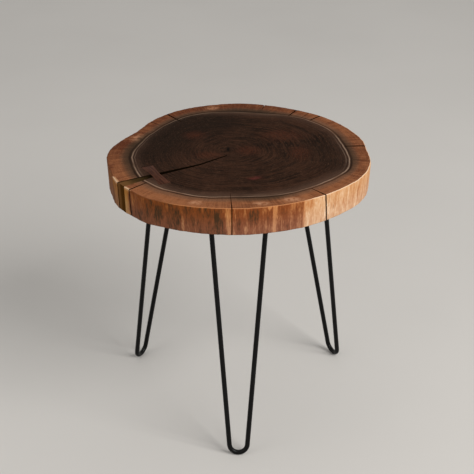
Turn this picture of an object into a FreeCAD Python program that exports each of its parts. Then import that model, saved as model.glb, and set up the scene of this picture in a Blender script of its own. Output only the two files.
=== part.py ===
import FreeCAD, Part
import itertools
import math
import os
import Sketcher

# Live edge side table: a round cross-cut slab of walnut on three bent-rod hairpin legs.
# Millimetres, +Z up; seen from the front, +X is to the right and +Y goes away.
# The origin lies on the floor, at the centre of the circle that the three legs stand on.

Vector = FreeCAD.Vector
Placement = FreeCAD.Placement
Rotation = FreeCAD.Rotation
UP = Vector(0, 0, 1)
ACROSS = Vector(1, 0, 0)
ALONG = Vector(0, 1, 0)

# Driving dimensions: name, millimetres or degrees, what it is
DRIVING_SIZES = [
    ("leg_height", 508, "floor to the underside of the slab"),
    ("slab_radius", 262, "top rim of the slab, before its own swells and hollows"),
    ("slab_thickness", 58, "underside to top of the slab"),
    ("edge_ease", 1.5, "bevel that breaks the slab's two sharp rims"),
    ("overcut", 5, "how far a cutter passes the face that it cuts"),
    ("resin_setback", 2, "how far the fill of a radial check stops short of the bark face"),
    ("mouth_setback", 6, "how far the fill of the main check stops short of the bark face"),
    ("check_tip_width", 0.6, "width of a radial check at its inner end"),
    ("main_start_radius", 29, "where the main check starts, near the pith"),
    ("main_start_bearing", 215, "bearing of that start"),
    ("main_start_width", 1.2, "width of the main check there"),
    ("main_bend_radius", 98, "where the main check bends"),
    ("main_bend_bearing", 218.5, "bearing of that bend"),
    ("main_bend_width", 4, "width of the main check there"),
    ("main_key_width", 9.5, "width of the main check under the key"),
    ("main_mouth_bearing", 214, "bearing of the main check's mouth in the rim"),
    ("main_mouth_width", 25, "width of that mouth"),
    ("key_rim_distance", 66, "how far the key's middle lies inside the slab's radius"),
    ("key_bearing", 214, "bearing of the key's middle"),
    ("key_axis_bearing", 296, "direction that the key lies in, across the main check"),
    ("key_length", 89, "bow-tie key, end to end"),
    ("key_end_width", 25, "bow-tie key, across each end"),
    ("key_waist_width", 17, "bow-tie key, across its waist"),
    ("key_depth", 20, "how deep the key is let into the slab"),
    ("key_clearance", 0.15, "glue line round the key"),
    ("rod_diameter", 10, "round steel rod of the legs"),
    ("bend_radius", 18.5, "bend at the foot, to the middle of the rod"),
    ("rod_spacing", 111, "between the two rods of a leg, at the underside of the slab"),
    ("leg_top_radius", 172, "circle on which the legs meet the slab"),
    ("foot_radius", 257, "circle on which the feet stand"),
    ("front_leg_bearing", 270, "bearing of the front leg"),
    ("left_leg_bearing", 151, "bearing of the left leg"),
    ("right_leg_bearing", 31.5, "bearing of the right leg"),
    ("plate_thickness", 4, "steel plate at the head of each leg"),
    ("plate_width", 62, "plate, along the slab's radius"),
    ("plate_end_margin", 14, "from a rod's middle to the plate's end"),
    ("plate_set_in", 12, "how far the plate's middle lies inside the legs' top circle"),
    ("plate_corner_radius", 10, "rounded corners of the plate"),
    ("weld_leg", 4, "height of the weld bead round a rod"),
    ("weld_toe", 0.4, "thickness of the bead at its lower rim"),
    ("screw_end_distance", 40, "from a screw to the plate's end"),
    ("screw_edge_distance", 12, "from a screw to the plate's long edge"),
    ("screw_diameter", 5, "shank of a leg screw"),
    ("screw_length", 30, "leg screw, from under its head to its point"),
    ("screw_point_length", 7, "tapered point of a leg screw"),
    ("screw_head_diameter", 10, "pan head of a leg screw"),
    ("screw_head_height", 3.2, "pan head, seat to crown"),
    ("screw_head_rim", 1.4, "upright rim of the pan head"),
    ("drive_width", 3.4, "square drive recess in the pan head"),
    ("drive_depth", 2, "depth of that recess"),
    ("plate_hole_clearance", 0.5, "room round a screw in the plate"),
    ("pilot_clearance", 0.1, "room round a screw in the slab"),
]

# The live edge at even bearings: how far the top rim swells out past the slab's radius,
# and how far the bark face runs in from there on its way down to the underside
RIM_STATIONS = [
    (0, 4, 4),
    (20, 3, 5),
    (40, 1, 5),
    (60, 0, 5),
    (80, 3, 5),
    (100, 3, 5),
    (120, -1, 5),
    (140, -13, 4),
    (160, -17, 4),
    (180, 5, 4),
    (200, 8, 2),
    (220, 16, 4),
    (240, 11, 7),
    (260, 2, 4),
    (280, -2, 3),
    (300, -2, 3),
    (320, 3, 4),
    (340, 10, 3),
]

# Drying checks that run in from the rim: name, bearing where they meet it, heading along the wood's rays,
# depth from the rim, width at the rim, and how far they run aside on the way down
RADIAL_CHECKS = [
    ("sliver_check", 220.3, 225, 48, 2.4, 0),
    ("front_check", 267.3, 273, 68, 2.8, 0),
    ("front_right_check", 309.6, 311.5, 40, 2.8, 7),
    ("right_check", 7, 2, 44, 2, 0),
    ("right_back_check", 47.6, 45.5, 34, 2, 0),
    ("back_right_check", 60.8, 60, 38, 2.4, 0),
    ("back_left_check", 127.2, 128, 54, 2.4, 0),
]

LEGS = ["front", "left", "right"]
FRONT_BEARING = 270
FULL_TURN = round(math.degrees(math.tau))
QUARTER_TURN = FULL_TURN / 4
RIM_STEP = FULL_TURN // len(RIM_STATIONS)

# How a sketch's constraints name the ends of a line, the middle of an arc, and the sketch's own axes
START, END, MIDDLE = range(1, 4)
X_AXIS, Y_AXIS = range(-1, -3, -1)
ORIGIN = (X_AXIS, START)

doc = FreeCAD.newDocument("live_edge_side_table")
sheet = doc.addObject("Spreadsheet::Sheet", "Sizes")
sheet_rows = itertools.count(1)


def add_size(alias, value, meaning):
    """Write one driving dimension into the sheet, under its own name."""
    row = next(sheet_rows)
    sheet.set("A%d" % row, meaning)
    sheet.set("B%d" % row, str(value))
    sheet.setAlias("B%d" % row, alias)


for alias, value, meaning in DRIVING_SIZES:
    add_size(alias, value, meaning)
for bearing, swell, taper in RIM_STATIONS:
    add_size("swell_%03d" % bearing, swell, "swell of the top rim at %d degrees" % bearing)
    add_size("taper_%03d" % bearing, taper, "run-in of the bark face at %d degrees" % bearing)
for check, bearing, heading, depth, width, lean in RADIAL_CHECKS:
    add_size(check + "_bearing", bearing, "bearing at which the %s meets the rim" % check)
    add_size(check + "_heading", heading, "direction that the %s runs out in" % check)
    add_size(check + "_depth", depth, "how far the %s runs in from the rim" % check)
    add_size(check + "_width", width, "width of the %s at the rim" % check)
    add_size(check + "_lean", lean, "how far the %s runs aside on the way down" % check)
doc.recompute()


def size(alias):
    """The value of one driving dimension."""
    return float(sheet.get(alias))


def polar(radius, bearing, height):
    """The point at a radius and bearing about the origin's upright, at a height."""
    angle = math.radians(bearing)
    return Vector(radius * math.cos(angle), radius * math.sin(angle), height)


UNDERSIDE = size("leg_height")
TOP = UNDERSIDE + size("slab_thickness")
PLATE_UNDERSIDE = UNDERSIDE - size("plate_thickness")
WIDEST_SWELL = max(size("swell_%03d" % station[0]) for station in RIM_STATIONS)
REACH = size("slab_radius") + WIDEST_SWELL + size("overcut")
KEY_RADIUS = size("slab_radius") - size("key_rim_distance")


# Helpers for the document's objects

def add_object(kind, name, **links):
    """A new object of the document, with its links set."""
    item = doc.addObject(kind, name)
    for link, target in links.items():
        setattr(item, link, target)
    return item


def origin_plane(body, role):
    """One of a body's own origin planes."""
    return next(plane for plane in body.Origin.OriginFeatures if plane.Role == role)


def add_sketch(body, name, role):
    """A sketch on one of its body's origin planes."""
    sketch = body.newObject("Sketcher::SketchObject", name)
    sketch.AttachmentSupport = [(origin_plane(body, role), "")]
    sketch.MapMode = "FlatFace"
    return sketch


def relate(sketch, kind, *geometry):
    """A constraint between the pieces of a sketch."""
    return sketch.addConstraint(Sketcher.Constraint(kind, *geometry))


def add_dimension(sketch, name, expression, kind, *geometry):
    """A named dimension of a sketch, bound to the sheet; geometry ends with its first value."""
    index = relate(sketch, kind, *geometry)
    sketch.renameConstraint(index, name)
    sketch.setExpression("Constraints." + name, expression)


def add_loop(sketch, corners):
    """A closed run of straight lines through the corners, joined end to end."""
    count = len(corners)
    for index in range(count):
        sketch.addGeometry(Part.LineSegment(corners[index], corners[(index + 1) % count]))
    for index in range(count):
        relate(sketch, "Coincident", index, END, (index + 1) % count, START)


def add_rectangle(sketch, length, width):
    """A rectangle about the sketch's origin; length and width are expressions."""
    add_loop(sketch, [Vector(-1, 1), Vector(1, 1), Vector(1, -1), Vector(-1, -1)])
    for line, direction in enumerate(["Horizontal", "Vertical", "Horizontal", "Vertical"]):
        relate(sketch, direction, line)
    relate(sketch, "Symmetric", 0, START, 2, START, *ORIGIN)
    add_dimension(sketch, "length", length, "DistanceX", 0, START, 0, END, 2)
    add_dimension(sketch, "width", width, "DistanceY", 1, END, 1, START, 2)


def check_that_it_cut(before, after):
    """A cut has to take something away."""
    doc.recompute()
    if after.Shape.Volume >= before.Shape.Volume:
        raise RuntimeError(after.Name + " cuts nothing")


# The slab's blank, and the smaller blanks that the fills stop at

def rim_radius(bearing):
    """Radius of the top rim at any bearing, between its stations."""
    index = int(bearing // RIM_STEP)
    share = bearing / RIM_STEP - index
    before = size("swell_%03d" % RIM_STATIONS[index][0])
    after = size("swell_%03d" % RIM_STATIONS[(index + 1) % len(RIM_STATIONS)][0])
    return size("slab_radius") + (1 - share) * before + share * after


def rim_section(name, height, inset):
    """The closed curve round the slab at one height, set in from the bark face."""
    lowered = (TOP - height) / size("slab_thickness")
    points = []
    for bearing, _, _ in RIM_STATIONS:
        run_in = lowered * size("taper_%03d" % bearing)
        radius = size("slab_radius") + size("swell_%03d" % bearing) - run_in
        points.append(polar(radius - inset, bearing, height))
    curve = Part.BSplineCurve()
    curve.interpolate(points, PeriodicFlag=True)
    return add_object("Part::Feature", name, Shape=Part.Wire(curve.toShape()))


def rim_loft(name, levels):
    """A solid whose side runs straight from each level to the next; a level is height and inset."""
    sections = []
    for index, (height, inset) in enumerate(levels):
        sections.append(rim_section("%s_rim_%d" % (name, index), height, inset))
    return add_object("Part::Loft", name, Sections=sections, Solid=True, Ruled=True)


def eased_blank():
    """The whole slab before its checks, with its two rims broken."""
    ease = size("edge_ease")
    return rim_loft("slab_blank", [(UNDERSIDE, ease), (UNDERSIDE + ease, 0), (TOP - ease, 0), (TOP, ease)])


def fill_limit(name, setback):
    """What a fill may take up: the slab less a margin along the bark face."""
    return rim_loft(name, [(UNDERSIDE, setback), (TOP, setback)])


# The checks

def radial_check(check):
    """A thin wedge, hung from the top rim, that opens outwards and goes right through the slab."""
    wedge = doc.addObject("Part::Wedge", check)
    wedge.setExpression("Ymin", "-Sizes.%s_depth" % check)
    wedge.setExpression("Ymax", "2 * Sizes.overcut")
    wedge.setExpression("Xmin", "-Sizes.check_tip_width / 2")
    wedge.setExpression("Xmax", "Sizes.check_tip_width / 2")
    wedge.setExpression("X2min", "-Sizes.%s_width / 2" % check)
    wedge.setExpression("X2max", "Sizes.%s_width / 2" % check)
    for low, high in [("Zmin", "Zmax"), ("Z2min", "Z2max")]:
        wedge.setExpression(low, "-Sizes.slab_thickness - Sizes.overcut")
        wedge.setExpression(high, "Sizes.overcut")
    bearing = size(check + "_bearing")
    lean = math.degrees(math.atan2(size(check + "_lean"), size("slab_thickness")))
    turn = Rotation(UP, size(check + "_heading") - QUARTER_TURN).multiply(Rotation(ALONG, lean))
    wedge.Placement = Placement(polar(rim_radius(bearing), bearing, TOP), turn)
    return wedge


def main_check():
    """The wide check from near the pith, under the key and out through the rim."""
    stations = [
        (size("main_start_radius"), size("main_start_bearing"), size("main_start_width")),
        (size("main_bend_radius"), size("main_bend_bearing"), size("main_bend_width")),
        (KEY_RADIUS, size("key_bearing"), size("main_key_width")),
        (REACH, size("main_mouth_bearing"), size("main_mouth_width")),
    ]
    low = UNDERSIDE - size("overcut")
    one_side = []
    other_side = []
    for radius, bearing, width in stations:
        middle = polar(radius, bearing, low)
        aside = polar(width / 2, bearing + QUARTER_TURN, 0)
        one_side.append(middle + aside)
        other_side.insert(0, middle - aside)
    plan = add_object("Part::Polygon", "main_check_plan", Nodes=one_side + other_side, Close=True)
    prism = add_object("Part::Extrusion", "main_check", Base=plan, Dir=UP, DirMode="Custom", Solid=True)
    prism.setExpression("LengthFwd", "Sizes.slab_thickness + 2 * Sizes.overcut")
    return prism


# The bow-tie key and its mortise

def bow_tie(name, growth, depth):
    """A bow-tie block let into the top across the main check; growth widens it all round."""
    body = doc.addObject("PartDesign::Body", name)
    plan = add_sketch(body, name + "_plan", "XY_Plane")
    # Six lines, clockwise from the upper left corner; lines 0 and 1, and 3 and 4, meet at the waist
    upper = [Vector(-2, 2), Vector(0, 1), Vector(2, 2)]
    lower = [Vector(2, -2), Vector(0, -1), Vector(-2, -2)]
    add_loop(plan, upper + lower)
    relate(plan, "Symmetric", 0, START, 5, START, X_AXIS)
    relate(plan, "Symmetric", 2, START, 2, END, X_AXIS)
    relate(plan, "Symmetric", 0, START, 2, START, Y_AXIS)
    relate(plan, "Symmetric", 1, START, 4, START, X_AXIS)
    relate(plan, "PointOnObject", 1, START, Y_AXIS)
    grown = " + 2 * " + growth
    add_dimension(plan, "length", "Sizes.key_length" + grown, "DistanceX", 0, START, 2, START, 4)
    add_dimension(plan, "end_width", "Sizes.key_end_width" + grown, "DistanceY", 5, START, 0, START, 4)
    add_dimension(plan, "waist", "Sizes.key_waist_width" + grown, "DistanceY", 4, START, 1, START, 2)
    pad = body.newObject("PartDesign::Pad", name + "_pad")
    pad.Profile = plan
    pad.setExpression("Length", depth)
    place = polar(KEY_RADIUS, size("key_bearing"), TOP - size("key_depth"))
    body.Placement = Placement(place, Rotation(UP, size("key_axis_bearing")))
    return body


# The hairpin legs, each made as the front one and turned to its bearing

def leg_place(leg, place):
    """A place on the front leg, turned round to another leg."""
    turn = Rotation(UP, size(leg + "_leg_bearing") - FRONT_BEARING)
    return Placement(Vector(), turn).multiply(place)


ROD_RADIUS = size("rod_diameter") / 2
LEG_RISE = UNDERSIDE - ROD_RADIUS
LEG_LEAN = math.atan2(size("foot_radius") - size("leg_top_radius"), LEG_RISE)
FOOT = Placement(Vector(0, -size("foot_radius"), ROD_RADIUS), Rotation(ACROSS, -math.degrees(LEG_LEAN)))
SLANT_LENGTH = "sqrt(%s^2 + %s^2)" % (
    "(Sizes.leg_height - Sizes.rod_diameter / 2)",
    "(Sizes.foot_radius - Sizes.leg_top_radius)")


def bent_rod(leg):
    """One rod bent to a hairpin, drawn as half and mirrored; it runs up past the plate's underside."""
    body = doc.addObject("PartDesign::Body", leg + "_bent_rod")
    line = add_sketch(body, leg + "_rod_line", "XZ_Plane")
    bend = size("bend_radius")
    circle = Part.Circle(Vector(0, bend), UP, bend)
    line.addGeometry(Part.ArcOfCircle(circle, -math.pi / 2, 0))
    line.addGeometry(Part.LineSegment(Vector(bend, bend), Vector(size("rod_spacing") / 2, LEG_RISE)))
    relate(line, "Tangent", 0, END, 1, START)
    relate(line, "Coincident", 0, START, *ORIGIN)
    relate(line, "PointOnObject", 0, MIDDLE, Y_AXIS)
    add_dimension(line, "bend", "Sizes.bend_radius", "Radius", 0, bend)
    add_dimension(line, "half_spacing", "Sizes.rod_spacing / 2", "DistanceX", *ORIGIN, 1, END, bend)
    add_dimension(line, "slant", SLANT_LENGTH, "DistanceY", *ORIGIN, 1, END, LEG_RISE)
    section = add_sketch(body, leg + "_rod_section", "YZ_Plane")
    section.addGeometry(Part.Circle(Vector(), UP, ROD_RADIUS))
    relate(section, "Coincident", 0, MIDDLE, *ORIGIN)
    add_dimension(section, "diameter", "Sizes.rod_diameter", "Diameter", 0, 2 * ROD_RADIUS)
    half = body.newObject("PartDesign::AdditivePipe", leg + "_half_rod")
    half.Profile = section
    half.Spine = (line, ["Edge1", "Edge2"])
    doc.recompute()
    whole = body.newObject("PartDesign::Mirrored", leg + "_whole_rod")
    whole.Originals = [half]
    whole.MirrorPlane = (origin_plane(body, "YZ_Plane"), [""])
    body.Tip = whole
    body.Placement = leg_place(leg, FOOT)
    return body


def rod_heads():
    """On the front leg: the middles of its two rods at the plate's underside, and the rods' directions."""
    bend = size("bend_radius")
    half_spacing = size("rod_spacing") / 2
    slant = math.hypot(LEG_RISE, size("foot_radius") - size("leg_top_radius"))
    to_head = math.atan2(slant - bend, half_spacing)
    off_line = math.asin(bend / math.hypot(slant - bend, half_spacing))
    run = Vector(math.cos(to_head + off_line), 0, math.sin(to_head + off_line))
    back_off = size("plate_thickness") / (run.z * math.cos(LEG_LEAN))
    heads = []
    for side in (-1, 1):
        direction = Vector(side * run.x, 0, run.z)
        head = Vector(side * half_spacing, 0, slant) - direction * back_off
        heads.append((FOOT.multVec(head), FOOT.Rotation.multVec(direction)))
    return heads


def weld_bead(leg, side, head, direction, rod, trim):
    """A fillet of weld round one rod, under the plate."""
    name = "%s_%s_bead" % (leg, side)
    cone = doc.addObject("Part::Cone", name + "_cone")
    toe_radius = "Sizes.rod_diameter / 2 + Sizes.weld_toe"
    rise = "Sizes.weld_leg + Sizes.plate_thickness"
    cone.setExpression("Radius1", toe_radius)
    cone.setExpression("Radius2", toe_radius + " + " + rise)
    cone.setExpression("Height", rise)
    start = head - direction * size("weld_leg")
    cone.Placement = leg_place(leg, Placement(start, Rotation(UP, direction)))
    ring = add_object("Part::Cut", name + "_ring", Base=cone, Tool=rod)
    return add_object("Part::Cut", name, Base=ring, Tool=trim)


PLATE_LENGTH = "(Sizes.rod_spacing + 2 * Sizes.plate_end_margin)"
SCREW_ALONG = "(%s / 2 - Sizes.screw_end_distance)" % PLATE_LENGTH
SCREW_ACROSS = "(Sizes.plate_width / 2 - Sizes.screw_edge_distance)"
SCREW_HOLE = "Sizes.screw_diameter + 2 * Sizes.plate_hole_clearance"
CORNERS = [(-1, -1), (1, -1), (1, 1), (-1, 1)]
PLATE_MIDDLE = Vector(0, size("plate_set_in") - size("leg_top_radius"), PLATE_UNDERSIDE)


def leg_plate(leg):
    """The flat plate at the head of a leg, with four screw holes."""
    name = leg + "_leg_plate"
    body = doc.addObject("PartDesign::Body", name)
    plan = add_sketch(body, name + "_plan", "XY_Plane")
    add_rectangle(plan, PLATE_LENGTH, "Sizes.plate_width")
    pad = body.newObject("PartDesign::Pad", name + "_pad")
    pad.Profile = plan
    pad.setExpression("Length", "Sizes.plate_thickness")
    doc.recompute()
    upright = []
    for index, edge in enumerate(pad.Shape.Edges, start=1):
        direction = edge.tangentAt(edge.FirstParameter)
        if abs(direction.z) > abs(direction.x) + abs(direction.y):
            upright.append("Edge%d" % index)
    rounded = body.newObject("PartDesign::Fillet", name + "_corners")
    rounded.Base = (pad, upright)
    rounded.setExpression("Radius", "Sizes.plate_corner_radius")
    holes = add_sketch(body, name + "_holes", "XY_Plane")
    for index, (along, across) in enumerate(CORNERS):
        holes.addGeometry(Part.Circle(Vector(along, across), UP, 1))
        to_hole = (*ORIGIN, index, MIDDLE)
        x = "%d * %s" % (along, SCREW_ALONG)
        y = "%d * %s" % (across, SCREW_ACROSS)
        add_dimension(holes, "along_%d" % index, x, "DistanceX", *to_hole, along)
        add_dimension(holes, "across_%d" % index, y, "DistanceY", *to_hole, across)
        add_dimension(holes, "hole_%d" % index, SCREW_HOLE, "Diameter", index, 2)
    drilled = body.newObject("PartDesign::Pocket", name + "_drilled")
    drilled.Profile = holes
    drilled.Type = "ThroughAll"
    drilled.Reversed = True
    check_that_it_cut(rounded, drilled)
    body.Placement = leg_place(leg, Placement(PLATE_MIDDLE, Rotation()))
    return body


# The screws that hold the plates

def screw_point(along, across, height):
    """A place over one corner of the front leg's screw pattern."""
    plate_length = size("rod_spacing") + 2 * size("plate_end_margin")
    x = along * (plate_length / 2 - size("screw_end_distance"))
    y = across * (size("plate_width") / 2 - size("screw_edge_distance"))
    return Placement(PLATE_MIDDLE + Vector(x, y, height), Rotation())


def pan_head_screw():
    """A pan-head wood screw, point up, with the seat of its head at its own origin."""
    body = doc.addObject("PartDesign::Body", "screw_pattern")
    outline = add_sketch(body, "screw_outline", "XZ_Plane")
    head = size("screw_head_diameter") / 2
    shank = size("screw_diameter") / 2
    crown = Vector(0, -size("screw_head_height"))
    rim = Vector(head, -size("screw_head_rim"))
    seat = Vector(head, 0)
    neck = Vector(shank, 0)
    taper = Vector(shank, size("screw_length") - size("screw_point_length"))
    point = Vector(0, size("screw_length"))
    drop = rim.y - crown.y
    dome = (head ** 2 + drop ** 2) / (2 * drop)
    swing = math.asin(head / dome)
    circle = Part.Circle(Vector(0, crown.y + dome), UP, dome)
    outline.addGeometry(Part.ArcOfCircle(circle, -math.pi / 2, -math.pi / 2 + swing))
    corners = [rim, seat, neck, taper, point, crown]
    for start, end in zip(corners, corners[1:]):
        outline.addGeometry(Part.LineSegment(start, end))
    pieces = len(corners)
    for index in range(pieces):
        relate(outline, "Coincident", index, END, (index + 1) % pieces, START)
    # The dome is piece 0; the rim, seat, shank, point and axis are lines 1 to 5
    relate(outline, "PointOnObject", 0, START, Y_AXIS)
    relate(outline, "PointOnObject", 0, MIDDLE, Y_AXIS)
    relate(outline, "PointOnObject", 4, END, Y_AXIS)
    relate(outline, "Vertical", 1)
    relate(outline, "PointOnObject", 1, END, X_AXIS)
    relate(outline, "PointOnObject", 2, END, X_AXIS)
    relate(outline, "Vertical", 3)
    half_head = "Sizes.screw_head_diameter / 2"
    half_shank = "Sizes.screw_diameter / 2"
    add_dimension(outline, "head_radius", half_head, "DistanceX", *ORIGIN, 1, END, head)
    add_dimension(outline, "rim", "Sizes.screw_head_rim", "DistanceY", 1, START, 1, END, -rim.y)
    add_dimension(outline, "crown", "Sizes.screw_head_height", "DistanceY", 0, START, *ORIGIN, -crown.y)
    add_dimension(outline, "shank_radius", half_shank, "DistanceX", *ORIGIN, 2, END, shank)
    add_dimension(outline, "length", "Sizes.screw_length", "DistanceY", *ORIGIN, 4, END, point.y)
    point_length = point.y - taper.y
    add_dimension(outline, "point", "Sizes.screw_point_length", "DistanceY", 3, END, 4, END, point_length)
    turned = body.newObject("PartDesign::Revolution", "screw_turned")
    turned.Profile = outline
    turned.ReferenceAxis = (outline, ["V_Axis"])
    turned.Angle = FULL_TURN
    recess = add_sketch(body, "drive_plan", "XY_Plane")
    recess.AttachmentOffset = Placement(Vector(0, 0, -size("screw_head_height")), Rotation())
    add_rectangle(recess, "Sizes.drive_width", "Sizes.drive_width")
    driven = body.newObject("PartDesign::Pocket", "drive_recess")
    driven.Profile = recess
    driven.Reversed = True
    driven.setExpression("Length", "Sizes.drive_depth")
    check_that_it_cut(turned, driven)
    return body


def linked_copies(item, name, places):
    """Copies of one object, each at its own place, as one group."""
    copies = []
    for index, place in enumerate(places):
        copy = add_object("App::Link", "%s_%d" % (name, index), LinkedObject=item, LinkPlacement=place)
        copies.append(copy)
    return add_object("Part::Compound", name, Links=copies)


# Assembly

blank = eased_blank()
radial_limit = fill_limit("radial_limit", size("resin_setback"))
mouth_limit = fill_limit("mouth_limit", size("mouth_setback"))
wide_check = main_check()
thin_checks = [radial_check(check[0]) for check in RADIAL_CHECKS]
key = bow_tie("bow_tie_key", "0", "Sizes.key_depth")
mortise = bow_tie("key_mortise", "Sizes.key_clearance", "Sizes.key_depth + Sizes.overcut")
screw = pan_head_screw()
pilot = doc.addObject("Part::Cylinder", "pilot_pattern")
pilot.setExpression("Radius", "Sizes.screw_diameter / 2 + Sizes.pilot_clearance")
pilot_depth = "Sizes.screw_length - Sizes.plate_thickness + Sizes.pilot_clearance"
pilot.setExpression("Height", pilot_depth + " + Sizes.overcut")
trim = add_object("Part::Box", "above_the_plates")
trim.Length = 2 * REACH
trim.Width = 2 * REACH
trim.setExpression("Height", "Sizes.plate_thickness + Sizes.slab_thickness")
trim.Placement = Placement(Vector(-REACH, -REACH, PLATE_UNDERSIDE), Rotation())

nodes = {"bow_tie_key": key}
pilot_places = []
for leg in LEGS:
    rod = bent_rod(leg)
    nodes[leg + "_hairpin_rod"] = add_object("Part::Cut", leg + "_hairpin_rod", Base=rod, Tool=trim)
    nodes[leg + "_leg_plate"] = leg_plate(leg)
    beads = []
    for side, (head, direction) in zip(["left", "right"], rod_heads()):
        beads.append(weld_bead(leg, side, head, direction, rod, trim))
    nodes[leg + "_weld_beads"] = add_object("Part::Compound", leg + "_weld_beads", Links=beads)
    screw_places = [leg_place(leg, screw_point(along, across, 0)) for along, across in CORNERS]
    nodes[leg + "_leg_screws"] = linked_copies(screw, leg + "_leg_screws", screw_places)
    bottom = size("plate_thickness") - size("overcut")
    pilot_places += [leg_place(leg, screw_point(along, across, bottom)) for along, across in CORNERS]

pilots = linked_copies(pilot, "pilot_holes", pilot_places)
checks = add_object("Part::Compound", "all_checks", Links=[wide_check] + thin_checks)
checked = add_object("Part::Cut", "checked_slab", Base=blank, Tool=checks)
drilled = add_object("Part::Cut", "drilled_slab", Base=checked, Tool=pilots)
nodes["slab"] = add_object("Part::Cut", "slab", Base=drilled, Tool=mortise)
for check, limit in [(wide_check, mouth_limit)] + [(check, radial_limit) for check in thin_checks]:
    name = check.Name + "_resin"
    poured = add_object("Part::Common", "poured_" + name, Base=check, Tool=limit)
    nodes[name] = add_object("Part::Cut", name, Base=poured, Tool=mortise)
doc.recompute()

# Every object has to be sound before any file is written
for item in doc.Objects:
    if "Invalid" in item.State or "Error" in item.State:
        raise RuntimeError(item.Name + " failed: " + ", ".join(item.State))
for name, item in nodes.items():
    item.Label = name
    if item.Shape.isNull() or not item.Shape.isValid() or not item.Shape.Solids:
        raise RuntimeError(name + " has no sound solid")

os.makedirs("parts", exist_ok=True)
for name, item in nodes.items():
    item.Shape.exportStep(os.path.join("parts", name + ".step"))
    box = item.Shape.BoundBox
    print("%-24s solids %d  volume %10.1f  x %7.1f %7.1f  y %7.1f %7.1f  z %6.1f %6.1f" % (
        name, len(item.Shape.Solids), item.Shape.Volume,
        box.XMin, box.XMax, box.YMin, box.YMax, box.ZMin, box.ZMax))
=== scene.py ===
"""Looks of a live edge side table: a cross-cut walnut slab with filled drying checks, on hairpin legs."""
import math

import bpy
import numpy as np
from bpy.props import FloatProperty, FloatVectorProperty, IntProperty, PointerProperty
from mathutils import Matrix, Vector, noise


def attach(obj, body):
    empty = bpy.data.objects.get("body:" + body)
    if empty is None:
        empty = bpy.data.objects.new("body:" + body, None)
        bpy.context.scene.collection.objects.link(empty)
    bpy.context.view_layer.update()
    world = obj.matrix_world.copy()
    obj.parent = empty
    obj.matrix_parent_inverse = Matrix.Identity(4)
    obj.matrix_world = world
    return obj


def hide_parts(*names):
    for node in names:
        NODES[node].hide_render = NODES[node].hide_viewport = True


bl_info = {
    "name": "Live Edge Side Table",
    "version": (1, 0, 0),
    "blender": (4, 5, 0),
    "location": "View3D > Sidebar > Live Edge Table",
    "description": "Models the slab, key, check fills and legs of a live edge side table over its frame",
    "category": "Object",
}

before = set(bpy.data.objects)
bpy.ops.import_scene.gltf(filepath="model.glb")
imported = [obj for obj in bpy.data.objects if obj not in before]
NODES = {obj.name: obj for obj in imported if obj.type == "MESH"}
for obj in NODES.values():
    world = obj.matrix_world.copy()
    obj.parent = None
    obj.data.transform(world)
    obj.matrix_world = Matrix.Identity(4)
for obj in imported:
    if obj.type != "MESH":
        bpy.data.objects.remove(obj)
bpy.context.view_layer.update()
MM = 0.001

# Corners of the frame this close in height lie on one level
LEVEL_SLACK = 0.1 * MM
# Share of the slab's reach beyond which its corners in the frame belong to the two rims
RIM_SHARE = 0.85
# How many lengths make up a turn, where corners of the rims, or of the pale ring, are rounded over one length
RIM_SMOOTHINGS = 200
RING_SMOOTHINGS = 120
# Corners of a fill in the frame that lie further apart than this, along the check, are of two stations
STATION_GAP = 4 * MM
# Corners of a fill this close to its inner end are of its tip
TIP_SLACK = 0.5 * MM
# How far a cutter reaches past the face that it cuts, and past the rim
CUT_CLEAR = 8 * MM
RIM_CLEAR = 40 * MM
# Points of the rolled-up sheet this close together are one
SAME_PLACE = 0.01 * MM
# Least half width of a check, and how ragged its lips are as a share of its half width
LEAST_HALF = 0.2 * MM
RAGGED = 0.15
# Least count of steps along a check, and how fine its straying and its ragged lips are, to the metre
LEAST_STEPS = 4
WANDER_FINENESS = 60
RAGGED_FINENESS = 160
# Width of a hairline check at its inner end, as a share of its mouth
HAIRLINE_TIP = 0.3
# Row of the noise that the first hairline check strays by; those of the filled checks start at 0
HAIRLINE_SEED = 20

LEGS = ("front", "left", "right")
# The filled checks, and how far their lips stand off from the sides of the fill in the frame, in millimetres;
# lips below 0 stand inside them
LIPS = {
    "main_check": 0.9, "sliver_check": 0.8, "front_check": -0.1, "front_right_check": 0.5, "right_check": 1.3,
    "right_back_check": 1.1, "back_right_check": 1.0, "back_left_check": 1.0,
}
BROWN_CHECKS = ("front_check", "front_right_check")
# Hairline checks that were never filled: bearing at the rim, heading in degrees, length in millimetres
HAIRLINES = ((53.8, 54, 34), (77.4, 78, 30), (139.5, 140, 26), (351.6, 356, 36))

# Width of the sapwood, from the pale ring to the rim: bearing, width in millimetres
SAPWOOD_WIDTHS = (
    (0, 43.5), (15, 48.5), (30, 39), (60, 37), (68, 46), (76, 53), (90, 53.5), (98, 49), (106, 44),
    (114, 41), (135, 41), (147, 36.5), (156, 34), (166, 45), (174, 51.8), (182, 52.7), (195, 50),
    (207, 52), (220, 48), (229, 53), (240, 50), (250, 46.5), (258, 49), (266, 53), (275, 52), (285, 47),
    (294, 43), (303, 43.5), (315, 44), (330, 43), (340, 38.5), (350, 44),
)
# How bright the pale ring is: bearing, strength
RING_LIGHT = (
    (0, 1.0), (18, 0.85), (25, 0.5), (60, 0.45), (76, 0.35), (100, 0.35), (110, 0.6), (132, 0.6),
    (146, 0.4), (162, 0.45), (180, 0.7), (205, 1.0), (246, 1.0), (264, 0.65), (282, 0.6), (296, 0.75),
    (322, 1.0),
)
# Corners and dips of the live edge: bearing, spread in degrees, height in millimetres
RIM_BUMPS = (
    (4, 4, -2.2), (48, 5, 2.0), (90, 5, 2.5), (151, 6, -4.0), (174, 4, 0.6), (184, 6, -1.3), (194, 4, -1.4),
    (208, 4, 2.4), (221, 3, -1.8), (229, 4, 2.2), (352, 4, 2.0),
)
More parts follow.
